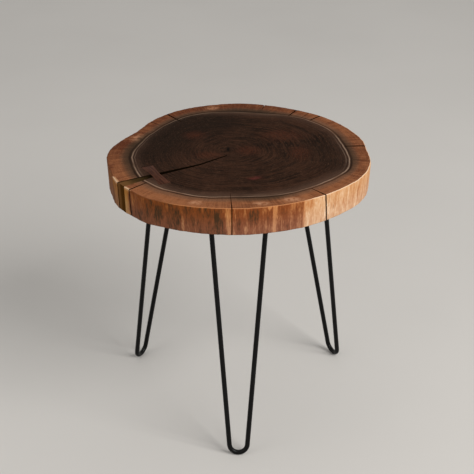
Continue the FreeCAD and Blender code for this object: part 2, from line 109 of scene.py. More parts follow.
# Flutes and ridges of the bark face: fineness, change with height, offset of the noise, share of the depth
FLUTES = ((9, 3, (0, 0), 0.5), (24, 7, (7, 0), 0.6), (70, 14, (0, 9), 0.35))
# Broad tone of the bark face round the rim: bearing, from 0 for dark red-brown to 1 for pale peach
PALENESS = (
    (0, 0.80), (18, 0.85), (40, 0.66), (58, 0.50), (84, 0.36), (101, 0.60), (118, 0.50), (142, 0.66),
    (160, 0.45), (181, 0.26), (204.6, 0.23), (206, 0.31), (207.5, 0.41), (211, 0.45), (216, 0.60),
    (219.5, 0.56), (220.6, 0.22), (232, 0.18), (240, 0.19), (252, 0.19), (256, 0.15), (264, 0.19),
    (268, 0.33), (271, 0.28), (277, 0.25), (283, 0.34), (286, 0.38), (289, 0.33), (291, 0.33),
    (294, 0.41), (298.2, 0.46), (298.9, 0.80), (303.6, 0.82), (304.4, 0.99), (308, 0.95), (313, 0.86),
    (318, 0.88), (326, 0.90), (336, 0.87), (346, 0.85),
)
# Figures of the bark face: bearing, share of the height, half width and half height in millimetres, and how
# much paler they are
BARK_FIGURES = (
    (205.6, 0.40, 3, 22, -0.21), (219.8, 0.50, 3, 60, -0.21), (222.2, 0.70, 2.5, 18, 0.10),
    (227.6, 0.44, 5, 8, -0.15), (230.0, 0.75, 2.5, 14, 0.06), (235.8, 0.50, 9, 20, -0.13),
    (240.0, 0.85, 3, 8, 0.16), (244.9, 0.55, 5.5, 19, -0.18), (246.6, 0.50, 2.7, 60, 0.16),
    (251.2, 0.52, 5, 12, -0.14), (255.3, 0.92, 2.7, 8, 0.22), (261.5, 0.50, 11, 18, -0.11),
    (266.0, 0.50, 6.5, 60, 0.29), (268.3, 0.50, 3.5, 60, 0.18), (269.9, 0.42, 5.5, 14, -0.10),
    (271.0, 0.36, 5, 15, -0.12), (273.0, 0.16, 3.5, 12, 0.20), (276.2, 0.66, 11, 20, -0.18),
    (280.9, 0.80, 4.5, 14, 0.08), (283.0, 0.64, 8, 18, -0.14), (283.2, 0.94, 4, 6, 0.26),
    (285.6, 0.50, 4, 60, 0.26), (288.8, 0.64, 5, 14, -0.12), (301.7, 0.80, 6.5, 14, -0.15),
    (320.8, 0.47, 2.2, 9, -0.21), (331, 0.55, 2.5, 20, -0.21), (336, 0.50, 2, 24, -0.24),
    (341, 0.60, 2.5, 20, -0.24),
)
# How far the dark stain of the heartwood has run out into the sapwood: bearing, strength
STAIN = (
    (0, 0.70), (12, 0.64), (22, 0.50), (34, 0.18), (50, 0.22), (62, 0.45), (74, 0.78), (92, 0.78),
    (106, 0.55), (125, 0.60), (148, 0.50), (164, 0.80), (192, 0.74), (206, 0.68), (222, 0.20),
    (232, 0.06), (244, 0.10), (262, 0.28), (272, 0.62), (280, 0.72), (290, 0.66), (298, 0.38),
    (310, 0.14), (325, 0.20), (336, 0.48), (346, 0.66),
)
# How light the sapwood is: bearing, from 0 for deep red-brown to 1 for tan
SAP_LIGHT = (
    (0, 0.34), (30, 0.56), (42, 0.60), (58, 0.42), (90, 0.02), (104, 0.18), (112, 0.05), (122, 0.15),
    (150, 0.25), (162, 0.30), (170, -0.20), (178, 0.15), (190, 0.45), (198, 0.52), (216, 0.60),
    (234, 0.92), (252, 0.95), (272, 0.62), (282, 0.70), (290, 0.78), (298, 0.85), (312, 0.76),
    (324, 0.72), (334, 0.50),
)
# Olive cast of the bark face: bearing, strength
OLIVE = (
    (120, 0.0), (165, 0.4), (182, 1.0), (212, 1.0), (219, 0.8), (220, 0.35), (240, 0.30), (258, 0.20),
    (268, 0.0),
)
# Painted light on the upper edge, which is rubbed pale: bearing, from 0 for dark painted shade where it faces
# away from the light to 1 for a pale painted highlight where the light catches it
EDGE_PAINTED_LIGHT = (
    (25, 0.9), (50, 0.25), (70, 0.0), (190, 0.0), (204.5, 0.1), (206, 1.0), (220.5, 1.0), (221.5, 0.1),
    (236, 0.15), (244, 0.5), (298, 0.55), (306, 1.0), (330, 1.0),
)
# Where the lips of the wide check have chipped along the upper edge: bearing, strength
CHIPS = (
    (205.5, 0), (206.8, 0.7), (211.0, 0.8), (211.8, 0), (216.4, 0), (217.2, 0.6), (220.3, 0.6),
    (220.8, 0),
)
# How grey the heartwood is beside the pale ring: bearing, strength
GREY = (
    (0, 0.25), (15, 0.50), (30, 0.35), (60, 0.40), (75, 0.85), (92, 0.80), (105, 0.40), (118, 0.05),
    (150, 0.15), (165, 0.35), (195, 0.55), (205, 0.75), (225, 1.0), (290, 0.95), (320, 0.80), (335, 0.55),
    (345, 0.25),
)
# How dark the heartwood is on its way out to the pale ring: bearing, strength
DUSK = (
    (0, 0.55), (12, 0.42), (25, 0.08), (75, 0.08), (92, 0.45), (104, 0.85), (150, 0.95), (180, 0.85),
    (205, 0.42), (225, 0.20), (240, 0.10), (300, 0.0), (330, 0.15), (345, 0.48),
)
# What the slab's finish reads by bearing, painted light on the upper edge among it
TONES = {
    "glow": RING_LIGHT, "pale": PALENESS, "stain": STAIN, "light": SAP_LIGHT, "olive": OLIVE,
    "edge": EDGE_PAINTED_LIGHT, "chip": CHIPS, "grey": GREY, "dusk": DUSK,
}
# Red-brown patches of the heartwood: place seen from above, then half sizes along x and y, in millimetres
BLUSHES = (
    ((-92, 88), (26, 24)), ((90, 88), (50, 34)), ((126, -4), (24, 42)), ((32, -127), (20, 8)),
    ((-60, -14), (30, 20)), ((20, 10), (30, 26)),
)
# Blond flecks of the sapwood, in the same way
FLECKS = (
    ((-209, 70), (16, 22)), ((-58, 239), (15, 10)), ((102, -222), (24, 10)), ((-80, -236), (16, 9)),
    ((44, -239), (18, 8)),
)
# Share of the bow-tie key's reach beyond which its corners are those of its two ends
KEY_END_SHARE = 0.6
# Faces of a weld bead along one ripple and round its section
RIPPLE_FACES = 8
SECTION_FACES = 14
# Half height of a patch that goes through the whole slab
WHOLE_HEIGHT = 100.0
# Red streaks along the rings: bearing about the pith, growth, half length in radians, half width in growth
RED_STREAKS = ((291, 0.515, 0.11, 0.010), (294, 0.492, 0.07, 0.006), (288, 0.536, 0.06, 0.006))
# Half width of the dark pith, at its darkest and at its end
PITH_CORE = (1.0 * MM, 5.5 * MM)
# How far the figures of the bark face stray along x, y and z
STRAY = (6 * MM, 6 * MM, 30 * MM)
# Strength of the bark face's colour at its foot and at its top, reached this far inside its edges: painted
# light from below that dulls the colour towards the foot
BARK_STRENGTH = (0.91, 1.04)
STRENGTH_INSET = 4 * MM
# How far below the top the chips of the bark face end, and where they are full
CHIP_FOOT = 7 * MM
CHIP_TOP = 2 * MM
# Distances from the table's axis at which the fill of the wide check turns from dark to shaded to amber
FILL_CHANGES = (206 * MM, 238 * MM, 268 * MM)
# Blacks of the pith and of the painted shade inside a check, as light
PITH_BLACK = (0.002, 0.0015, 0.001)
CHECK_SHADE_BLACK = (0.004, 0.003, 0.002)

# Places of the lamps and what they face, and sizes of the stage, in metres
KEY_LAMP_PLACE = (3.2, -2.7, 3.4)
FILL_LAMP_PLACE = (-3.6, -2.4, 2.6)
LAMP_TARGET = (0, 0, 0.4)
LAMP_WIDTH = 3.0
FLOOR_WIDTH = 40
# Width of the camera's sensor in millimetres
SENSOR_WIDTH = 36


def linear(red, green, blue):
    """A colour as a paint chart gives it, 0 to 255, turned into light."""
    tones = []
    for value in (red, green, blue):
        tone = value / 255
        tones.append(tone / 12.92 if tone <= 0.04045 else ((tone + 0.055) / 1.055) ** 2.4)
    return tuple(tones)


def colour_property(name, description, red, green, blue):
    """A colour that a user may change."""
    return FloatVectorProperty(
        name=name, description=description, subtype="COLOR", min=0, max=1, default=linear(red, green, blue))


def length_property(name, description, metres):
    """A length that a user may change."""
    return FloatProperty(name=name, description=description, default=metres, unit="LENGTH", precision=4)


class SlabSettings(bpy.types.PropertyGroup):
    """Sizes and colours of the slab and its key."""

    pith: FloatVectorProperty(
        name="Pith", description="Where the growth rings start, seen from above", size=2,
        default=(-0.021, 0.015), unit="LENGTH", precision=4)
    columns: IntProperty(name="Columns", description="Faces round the slab", default=1080, min=90)
    edge_round: length_property("Edge round", "Rounding of the two rims", 1.6 * MM)
    flute_depth: length_property("Flute depth", "Depth of the upright flutes of the bark face", 1.5 * MM)
    glue_line: length_property("Glue line", "Gap round the key", 0.25 * MM)
    key_ease: length_property("Key ease", "Bevel along the key's edges", 0.3 * MM)
    heart_share: FloatProperty(
        name="Heart share", description="Share of the growth, pith to bark, that is heartwood",
        default=0.8, subtype="FACTOR", min=0, max=1)
    ring_count: FloatProperty(name="Rings", description="Growth rings from pith to bark", default=46, min=1)
    heart_dark: colour_property("Dark heartwood", "Darkest bands of the heartwood", 25, 15, 9)
    heart_warm: colour_property("Warm heartwood", "Lightest bands of the heartwood", 62, 39, 27)
    heart_tan: colour_property("Tan heartwood", "Short light arcs of the heartwood", 104, 76, 58)
    heart_grey: colour_property("Grey heartwood", "Heartwood beside the pale ring", 80, 58, 46)
    heart_dusk: colour_property("Dusky heartwood", "Heartwood inside the pale ring at the back", 26, 18, 12)
    red_streak: colour_property("Red streak", "Short red streaks of the heartwood", 106, 46, 46)
    blush: colour_property("Blush", "Red-brown patches in the heartwood", 78, 40, 26)
    ring_shadow: colour_property("Ring shadow", "Dark line outside the pale ring", 32, 20, 14)
    pale_ring: colour_property("Pale ring", "Thin line between heartwood and sapwood", 150, 124, 104)
    stain: colour_property("Stain", "Heartwood stain that has run into the sapwood", 52, 40, 28)
    sap_deep: colour_property("Deep sapwood", "Red-brown sapwood", 90, 48, 30)
    sap_light: colour_property("Light sapwood", "Tan sapwood", 150, 95, 61)
    sap_grey: colour_property("Grey sapwood", "Sapwood beside the pale ring", 104, 76, 58)
    fleck: colour_property("Fleck", "Blond flecks in the sapwood", 186, 134, 100)
    bark_dark: colour_property("Dark bark face", "Dark stains of the bark face", 68, 45, 25)
    bark_red: colour_property("Red bark face", "Red-brown of the bark face", 128, 69, 37)
    bark_tan: colour_property("Tan bark face", "Tan of the bark face", 186, 124, 78)
    bark_pale: colour_property("Pale bark face", "Pale peach of the bark face", 210, 162, 118)
    bark_cream: colour_property("Cream bark face", "Palest cream of the bark face", 234, 201, 168)
    # Painted shade on the upper edge where the light doesn't reach it; the check walls also take it as their
    # brown in the sapwood
    bark_edge: colour_property("Dark edge", "Upper edge where it is not rubbed pale", 92, 47, 20)
    bark_olive: colour_property("Olive cast", "Tint of the weathered bark face", 240, 251, 198)
    key_dark: colour_property("Dark key grain", "Dark grain of the bow-tie key", 54, 32, 24)
    key_light: colour_property("Light key grain", "Light grain of the bow-tie key", 84, 52, 39)


class CheckSettings(bpy.types.PropertyGroup):
    """Sizes and colours of the drying checks and their fills."""

    wander: length_property("Wander", "How far a check strays from a straight line", 0.3 * MM)
    station_step: length_property("Station step", "Spacing of the points along a check", 5 * MM)
    rim_setback: length_property("Rim setback", "How far a thin fill stops short of the bark face", 1.2 * MM)
    mouth_setback: length_property(
        "Mouth setback", "How far the main fill stops short of the bark face", 1.0 * MM)
    sink: length_property("Sink", "How far a fill has shrunk below the top", 0.15 * MM)
    hairline_width: length_property("Hairline width", "Width of an unfilled check at the rim", 2.0 * MM)
    hairline_depth: length_property("Hairline depth", "Depth of an unfilled check", 22 * MM)
    fill_dark: colour_property("Dark fill", "Fill where the check is deep", 13, 8, 3)
    fill_brown: colour_property("Brown fill", "Fill of the brown checks", 56, 29, 9)
    fill_shade: colour_property("Shaded fill", "Clear fill on the top over dark wood", 60, 45, 25)
    fill_amber: colour_property("Amber fill", "Clear fill on the top near the bark", 106, 74, 43)
    fill_olive: colour_property("Olive fill", "Clear fill seen from the side, at the far lip", 112, 76, 42)
    # Painted shade of the near lip on the fill's side
    fill_side_shade: colour_property("Side fill", "Clear fill seen from the side, at the near lip", 76, 48, 17)


class LegSettings(bpy.types.PropertyGroup):
    """Weld beads of the legs, and colours of the legs and their screws."""

    bead_ring: length_property("Bead ring", "Radius of the line that a weld bead follows", 6 * MM)
    bead_round: length_property("Bead round", "Radius of a weld bead's section", 2.8 * MM)
    ripples: IntProperty(name="Ripples", description="Ripples round a weld bead", default=22, min=3)
    bead_sink: length_property("Bead sink", "How far below the plate that line lies", 0.2 * MM)
    ripple_height: FloatProperty(
        name="Ripple height", description="Swell of a ripple, as a share of the bead",
        default=0.16, subtype="FACTOR", min=0, max=1)
    coat: colour_property("Powder coat", "Satin black coat of the legs", 9, 9, 9)
    oxide: colour_property("Black oxide", "Finish of the leg screws", 32, 31, 31)


class StageSettings(bpy.types.PropertyGroup):
    """Floor, light and camera."""

    floor: colour_property("Floor", "Plain pale floor", 214, 210, 204)
    camera_place: FloatVectorProperty(
        name="Camera", description="Where the camera stands", size=3, subtype="TRANSLATION", unit="LENGTH",
        default=(-0.00287, -2.59897, 1.71274))
    camera_pitch: FloatProperty(
        name="Pitch", description="How far the camera looks down",
        default=math.radians(27.3), subtype="ANGLE")
    lens: FloatProperty(name="Lens", description="Focal length on a 36 mm sensor", default=105.56, min=1)
    key_power: FloatProperty(name="Key power", description="Watts of the main lamp", default=210, min=0)
    fill_power: FloatProperty(name="Fill power", description="Watts of the second lamp", default=26, min=0)
    ambient: FloatProperty(name="Ambient", description="Strength of the even light", default=0.44, min=0)


# Selecting and shaping

def add_primitive(operator, name, **sizes):
    """A new mesh from one of the add operators, alone in the selection."""
    bpy.ops.object.select_all(action="DESELECT")
    operator(location=(0, 0, 0), **sizes)
    piece = bpy.context.object
    piece.name = name
    piece.data.name = name
    return piece


def select(*pieces):
    """Selects some pieces and nothing else, the first of them active."""
    bpy.ops.object.select_all(action="DESELECT")
    for piece in pieces:
        piece.select_set(True)
    bpy.context.view_layer.objects.active = pieces[0]


def edit(piece, *steps):
    """Runs steps on a piece in edit mode, with all of it selected at first."""
    select(piece)
    bpy.ops.object.mode_set(mode="EDIT")
    bpy.ops.mesh.select_all(action="SELECT")
    for step in steps:
        step()
    bpy.ops.object.mode_set(mode="OBJECT")


def outward_normals():
    """Turns every face outwards, in edit mode."""
    bpy.ops.mesh.select_all(action="SELECT")
    bpy.ops.mesh.normals_make_consistent(inside=False)


def draw_out(piece, shift):
    """Draws a flat sheet out into a closed block."""
    draw = {"value": tuple(shift)}
    edit(piece, lambda: bpy.ops.mesh.extrude_region_move(TRANSFORM_OT_translate=draw), outward_normals)


def apply_modifier(piece, kind, **values):
    """Adds one modifier to a piece and applies it."""
    modifier = piece.modifiers.new(kind.lower(), kind)
    for name, value in values.items():
        setattr(modifier, name, value)
    bpy.context.view_layer.objects.active = piece
    bpy.ops.object.modifier_apply(modifier=modifier.name)


def cut(piece, cutter, **values):
    """Takes a cutter out of a piece and clears it away."""
    apply_modifier(piece, "BOOLEAN", object=cutter, solver="EXACT", **values)
    bpy.data.objects.remove(cutter)


def joined(pieces):
    """Several pieces as one."""
    select(*pieces)
    bpy.ops.object.join()
    return pieces[0]


def smooth(piece, degrees):
    """Smooth shading, apart from edges sharper than an angle."""
    select(piece)
    bpy.ops.object.shade_smooth_by_angle(angle=math.radians(degrees))


def places(piece):
    """A mesh's vertices as an array."""
    count = len(piece.data.vertices)
    flat = np.empty(count * 3)
    piece.data.vertices.foreach_get("co", flat)
    return flat.reshape(count, 3)


def move_to(piece, points):
    """Puts a mesh's vertices in new places."""
    piece.data.vertices.foreach_set("co", np.asarray(points, float).ravel())
    piece.data.update()


def hand_in(piece, node):
    """Makes a finished piece stand for a node of the frame."""
    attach(piece, "root")
    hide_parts(node)


# The slab's outline, read from the frame

def by_bearing(stations, bearings):
    """Values at some bearings, from a short list of (bearing in degrees, value)."""
    angles = [math.radians(station[0]) for station in stations]
    return np.interp(bearings, angles, [station[1] for station in stations], period=math.tau)


def rounded(values, spread):
    """A closed run of values with its corners smoothed over a few neighbours."""
    reach = 3 * spread
    weights = np.exp(-0.5 * (np.arange(-reach, reach + 1) / spread) ** 2)
    return np.convolve(np.pad(values, reach, mode="wrap"), weights / weights.sum(), mode="valid")


class Outline:
    """The slab seen from above, about the pith: its rims, its pale ring and its flutes."""

    def __init__(self, settings):
        self.settings = settings
        self.pith = np.array(settings.pith)
        corners = places(NODES["slab"])
        radius = np.hypot(corners[:, 0], corners[:, 1])
        corners = corners[radius > RIM_SHARE * radius.max()]
        levels, counts = np.unique(corners[:, 2].round(5), return_counts=True)
        rims = levels[counts > counts.max() / 2]
        self.low, self.high = rims[0], rims[-1]
        self.angles = np.linspace(-math.pi, math.pi, settings.columns, endpoint=False)
        self.top = self.about_pith(self.rim(corners, rims[-2]))
        self.bottom = self.about_pith(self.rim(corners, rims[1]))
        widths = by_bearing(SAPWOOD_WIDTHS, self.angles) * MM
        widths = rounded(widths, settings.columns // RING_SMOOTHINGS)
        self.ring = self.about_pith(self.rim(corners, rims[-2]) - widths)

    def rim(self, corners, level):
        """Radius of the live edge about the table's own axis, with its corners and dips."""
        line = corners[np.abs(corners[:, 2] - level) < LEVEL_SLACK]
        bearing = np.arctan2(line[:, 1], line[:, 0])
        radius = np.interp(self.angles, bearing, np.hypot(line[:, 0], line[:, 1]), period=math.tau)
        radius = rounded(radius, self.settings.columns // RIM_SMOOTHINGS)
        for place, spread, height in RIM_BUMPS:
            away = (np.degrees(self.angles) - place + 180) % 360 - 180
            radius = radius + height * MM * np.exp(-0.5 * (away / spread) ** 2)
        return radius

    def about_pith(self, radius):
        """The same line as distances from the pith."""
        x = radius * np.cos(self.angles) - self.pith[0]
        y = radius * np.sin(self.angles) - self.pith[1]
        return np.interp(self.angles, np.arctan2(y, x), np.hypot(x, y), period=math.tau)

    def flute(self, angle, height):
        """How far the bark face stands out at one place, from its flutes and fine ridges."""
        around = Vector((math.cos(angle), math.sin(angle), 0))
        swell = 0.0
        for fineness, climb, (x, y), share in FLUTES:
            swell += share * noise.noise(around * fineness + Vector((x, y, height * climb)))
        return self.settings.flute_depth * swell

    def edge(self, height):
        """Distance of the bark face from the pith all round, at one height."""
        share = (height - self.low) / (self.high - self.low)
        flutes = np.array([self.flute(angle, height) for angle in self.angles])
        return self.bottom + share * (self.top - self.bottom) + flutes

    def growth(self, points):
        """From 0 at the pith to 1 at the bark, for points seen from above."""
        x = points[:, 0] - self.pith[0]
        y = points[:, 1] - self.pith[1]
        angle = np.arctan2(y, x)
        away = np.hypot(x, y)
        ring = np.interp(angle, self.angles, self.ring, period=math.tau)
        rim = np.interp(angle, self.angles, self.top, period=math.tau)
        heart = self.settings.heart_share
        inner = heart * away / ring
        outer = heart + (1 - heart) * (away - ring) / (rim - ring)
        return np.where(away < ring, inner, outer)

    def bark_point(self, bearing, share):
        """The point of the bark face at a bearing in degrees and a share of its height."""
        turn = math.radians(bearing)
        radius = (1 - share) * self.rim_radius(turn, high=False) + share * self.rim_radius(turn, high=True)
        return radius * math.cos(turn), radius * math.sin(turn), self.low + share * (self.high - self.low)

    def rim_radius(self, bearing, high):
        """Radius about the table's own axis of the upper or lower rim at a bearing."""
        line = self.top if high else self.bottom
        x = self.pith[0] + line * np.cos(self.angles)
        y = self.pith[1] + line * np.sin(self.angles)
        return float(np.interp(bearing, np.arctan2(y, x), np.hypot(x, y), period=math.tau))


# The slab

# Rows of faces over the heartwood, the sapwood, one rounded rim and the bark face
HEART_ROWS, SAP_ROWS, ROUND_ROWS, BARK_ROWS = 12, 7, 4, 16


def slab_rows(outline):
    """The lines round the slab from the middle of its top, over the rim, to the middle of its underside."""
    ease = outline.settings.edge_round

    def flat_rows(height, edge):
        lines = [outline.ring * share for share in np.linspace(0, 1, HEART_ROWS + 1)]
        shares = np.linspace(0, 1, SAP_ROWS + 1)[1:]
        lines += [outline.ring + share * (edge - ease - outline.ring) for share in shares]
        return [(line, height) for line in lines]

    def round_rows(height, turn):
        lines = []
        for share in np.linspace(0, 1, ROUND_ROWS + 1):
            angle = share * math.pi / 2
            drop = ease * (1 - math.cos(angle))
            level = height - turn * drop
            lines.append((outline.edge(level) - ease * (1 - math.sin(angle)), level))
        return lines

    top = flat_rows(outline.high, outline.edge(outline.high))
    over = round_rows(outline.high, 1)[1:]
    levels = np.linspace(outline.high - ease, outline.low + ease, BARK_ROWS + 1)[1:-1]
    down = [(outline.edge(level), level) for level in levels]
    under = round_rows(outline.low, -1)[::-1]
    bottom = flat_rows(outline.low, outline.edge(outline.low))[::-1][1:]
    rows = top + over + down + under + bottom
    face = ["end"] * (len(top) - 1) + ["bark"] * (len(over) + len(down) + len(under)) + ["end"] * len(bottom)
    return rows, face


def slab_blank(outline):
    """A sheet rolled up into the whole slab before its checks."""
    rows, face = slab_rows(outline)
    columns = outline.settings.columns
    steps = len(rows) - 1
    blank = add_primitive(
        bpy.ops.mesh.primitive_grid_add, "live_edge_slab",
        x_subdivisions=columns, y_subdivisions=steps, size=1)
    spot = places(blank)
    column = np.rint((spot[:, 0] + 0.5) * columns).astype(int) % columns
    row = np.rint((spot[:, 1] + 0.5) * steps).astype(int)
    away = np.array([line for line, _ in rows])[row, column]
    angle = outline.angles[column]
    x = outline.pith[0] + away * np.cos(angle)
    y = outline.pith[1] + away * np.sin(angle)
    height = np.array([level for _, level in rows])[row]
    for polygon in blank.data.polygons:
        polygon.material_index = 0 if face[min(row[index] for index in polygon.vertices)] == "end" else 1
    move_to(blank, np.stack([x, y, height], axis=1))
    edit(blank, lambda: bpy.ops.mesh.remove_doubles(threshold=SAME_PLACE), outward_normals)
    return blank


# The checks

def level_corners(node, high):
    """The corners of a node's highest or lowest face, seen from above."""
    corners = places(NODES[node])
    level = corners[:, 2].max() if high else corners[:, 2].min()
    return corners[np.abs(corners[:, 2] - level) < LEVEL_SLACK][:, :2]


def check_stations(node):
    """Left and right side of a check from its tip to the rim, read from its fill's underside in the frame."""
    low = level_corners(node, high=False)
    radius = np.hypot(low[:, 0], low[:, 1])
    order = np.argsort(radius)
    groups = np.split(order, np.flatnonzero(np.diff(radius[order]) > STATION_GAP) + 1)
    stations = []
    for group in groups:
        points = low[group]
        turn = np.arctan2(points[:, 1], points[:, 0])
        stations.append((points[turn.argmin()], points[turn.argmax()]))
    return stations


def check_slope(node, outline):
    """How fast a check moves aside with height, from the tip of its fill in the frame."""
    tips = []
    for high in (False, True):
        corners = level_corners(node, high)
        radius = np.hypot(corners[:, 0], corners[:, 1])
        tips.append(corners[radius < radius.min() + TIP_SLACK].mean(axis=0))
    return (tips[1] - tips[0]) / (outline.high - outline.low)


def check_sides(stations, lip, settings, seed, reach):
    """A check's two sides as even points, straying a little, and carried on past the rim to a radius."""
    middles = [(one + other) / 2 for one, other in stations]
    halves = [max(np.linalg.norm(other - one) / 2 + lip, LEAST_HALF) for one, other in stations]
    run = middles[-1] - middles[-2]
    more = (reach - np.linalg.norm(middles[-1])) / np.linalg.norm(run)
    middles.append(middles[-1] + run * more)
    halves.append(halves[-1] + (halves[-1] - halves[-2]) * more)
    middles = np.array(middles)
    lengths = np.concatenate([[0], np.cumsum(np.linalg.norm(np.diff(middles, axis=0), axis=1))])
    count = max(LEAST_STEPS, round(lengths[-1] / settings.station_step))
    along = np.linspace(0, lengths[-1], count + 1)
    x = np.interp(along, lengths, middles[:, 0])
    y = np.interp(along, lengths, middles[:, 1])
    half = np.interp(along, lengths, halves)
    aside = np.stack([-np.gradient(y), np.gradient(x)], axis=1)
    aside /= np.linalg.norm(aside, axis=1)[:, None]
    left = []
    right = []
    for index, share in enumerate(along / lengths[-1]):
        stray = settings.wander * math.sin(math.pi * share) ** 0.5
        shift = stray * noise.noise(Vector((along[index] * WANDER_FINENESS, seed, 0)))
        ragged = half[index] * RAGGED * noise.noise(Vector((along[index] * RAGGED_FINENESS, seed, 5)))
        middle = np.array([x[index], y[index]]) + aside[index] * shift
        left.append(middle + aside[index] * (half[index] + ragged))
        right.append(middle - aside[index] * (half[index] - ragged))
    return np.array(left), np.array(right)


def strip_prism(name, sides, high, low, slope=(0.0, 0.0), base=0.0):
    """A closed prism between two lines, drawn out downwards; with a slope it leans about a base height."""
    slope = np.array(slope)
    left, right = sides
    count = len(left)
    strip = add_primitive(
        bpy.ops.mesh.primitive_grid_add, name, x_subdivisions=count - 1, y_subdivisions=1, size=1)
    spot = places(strip)
    station = np.rint((spot[:, 0] + 0.5) * (count - 1)).astype(int)
    plan = np.where((spot[:, 1] > 0)[:, None], left[station], right[station]) + slope * (high - base)
    move_to(strip, np.column_stack([plan, np.full(len(spot), high)]))
    draw_out(strip, (*(slope * (low - high)), low - high))
    return strip


def trim_to_rim(fill, outline, mouth, setback):
    """Cuts off a fill's outer end along the slope of the bark face."""
    bearing = math.atan2(mouth[1], mouth[0])
    upper = outline.rim_radius(bearing, high=True) - setback
    lower = outline.rim_radius(bearing, high=False) - setback
    out = Vector((math.cos(bearing), math.sin(bearing), 0))
    slope = (upper - lower) / (outline.high - outline.low)
    edge = out * upper + Vector((0, 0, outline.high))
    edit(fill, lambda: bpy.ops.mesh.bisect(
        plane_co=edge, plane_no=out - Vector((0, 0, slope)), use_fill=True, clear_outer=True))


def key_plan():
    """The six corners of the bow-tie key seen from above, in order round it, with its top and floor."""
    corners = places(NODES["bow_tie_key"])
    plan = np.unique(corners[:, :2].round(5), axis=0)
    away = plan - plan.mean(axis=0)
    order = np.argsort(np.arctan2(away[:, 1], away[:, 0]))
    return plan[order], corners[:, 2].max(), corners[:, 2].min()


def key_heading(plan):
    """The direction in which the bow-tie key is longest, seen from above."""
    away = plan - plan.mean(axis=0)
    reach = np.linalg.norm(away, axis=1)
    ends = away[reach > KEY_END_SHARE * reach.max()]
    heading = ends[ends[:, 1] > 0].mean(axis=0)
    return (*(heading / np.linalg.norm(heading)), 0)


def bow_tie(name, growth, high, low):
    """An upright bow-tie block over the key's plan, grown all round."""
    plan, _, _ = key_plan()
    middle = plan.mean(axis=0)
    away = plan - middle
    plan = middle + away * (1 + growth / np.linalg.norm(away, axis=1).min())
    block = add_primitive(
        bpy.ops.mesh.primitive_circle_add, name, vertices=len(plan), radius=1, fill_type="NGON")
    spot = places(block)
    order = np.argsort(np.arctan2(spot[:, 1], spot[:, 0]))
    points = np.empty((len(plan), 3))
    points[order] = np.column_stack([plan, np.full(len(plan), high)])
    move_to(block, points)
    draw_out(block, (0, 0, low - high))
    return block


def mark_across(fill, sides):
    """Stores on a fill how far across its check each point lies, -1 at the far lip to 1 at the near one."""
    left, right = sides
    middle = (left + right) / 2
    half = (left - right) / 2
    spot = places(fill)[:, :2]
    nearest = np.linalg.norm(spot[:, None] - middle[None], axis=2).argmin(axis=1)
    aside = half[nearest]
    across = ((spot - middle[nearest]) * aside).sum(axis=1) / (aside ** 2).sum(axis=1)
    fill.data.attributes.new("across", "FLOAT", "POINT").data.foreach_set("value", across.astype(np.float32))


def check_cutters(outline, settings):
    """What is taken out of the slab for the filled checks and the hairlines."""
    above = outline.high + CUT_CLEAR
    below = outline.low - CUT_CLEAR
    reach = max(outline.top.max(), outline.bottom.max()) + RIM_CLEAR
    cutters = []
    for index, (check, lip) in enumerate(LIPS.items()):
        node = check + "_resin"
        sides = check_sides(check_stations(node), lip * MM, settings, index, reach)
        slope = check_slope(node, outline)
        cutters.append(strip_prism(check + "_cutter", sides, above, below, slope, outline.low))
    for index, (bearing, heading, length) in enumerate(HAIRLINES):
        mouth = np.array(outline.bark_point(bearing, 1)[:2])
        turn = math.radians(heading)
        out = np.array([math.cos(turn), math.sin(turn)])
        across = np.array([-out[1], out[0]])
        stations = []
        for inward, width in ((length * MM, HAIRLINE_TIP), (0, 1)):
            half = across * settings.hairline_width * width / 2
            stations.append((mouth - out * inward - half, mouth - out * inward + half))
        sides = check_sides(stations, 0, settings, HAIRLINE_SEED + index, reach)
        floor = outline.high - settings.hairline_depth
        cutters.append(strip_prism("hairline_cutter", sides, above, floor))
    return cutters


def add_look(outline, piece):
    """Stores on the slab what its finish follows: growth, the tones of the bark face and sapwood, and the
    painted light of its upper edge.
    """
    spot = places(piece)
    bearing = np.arctan2(spot[:, 1], spot[:, 0])
    looks = {name: by_bearing(stations, bearing) for name, stations in TONES.items()}
    looks["growth"] = outline.growth(spot)
    for name, values in looks.items():
        attribute = piece.data.attributes.new(name, "FLOAT", "POINT")
        attribute.data.foreach_set("value", values.astype(np.float32))


# Materials

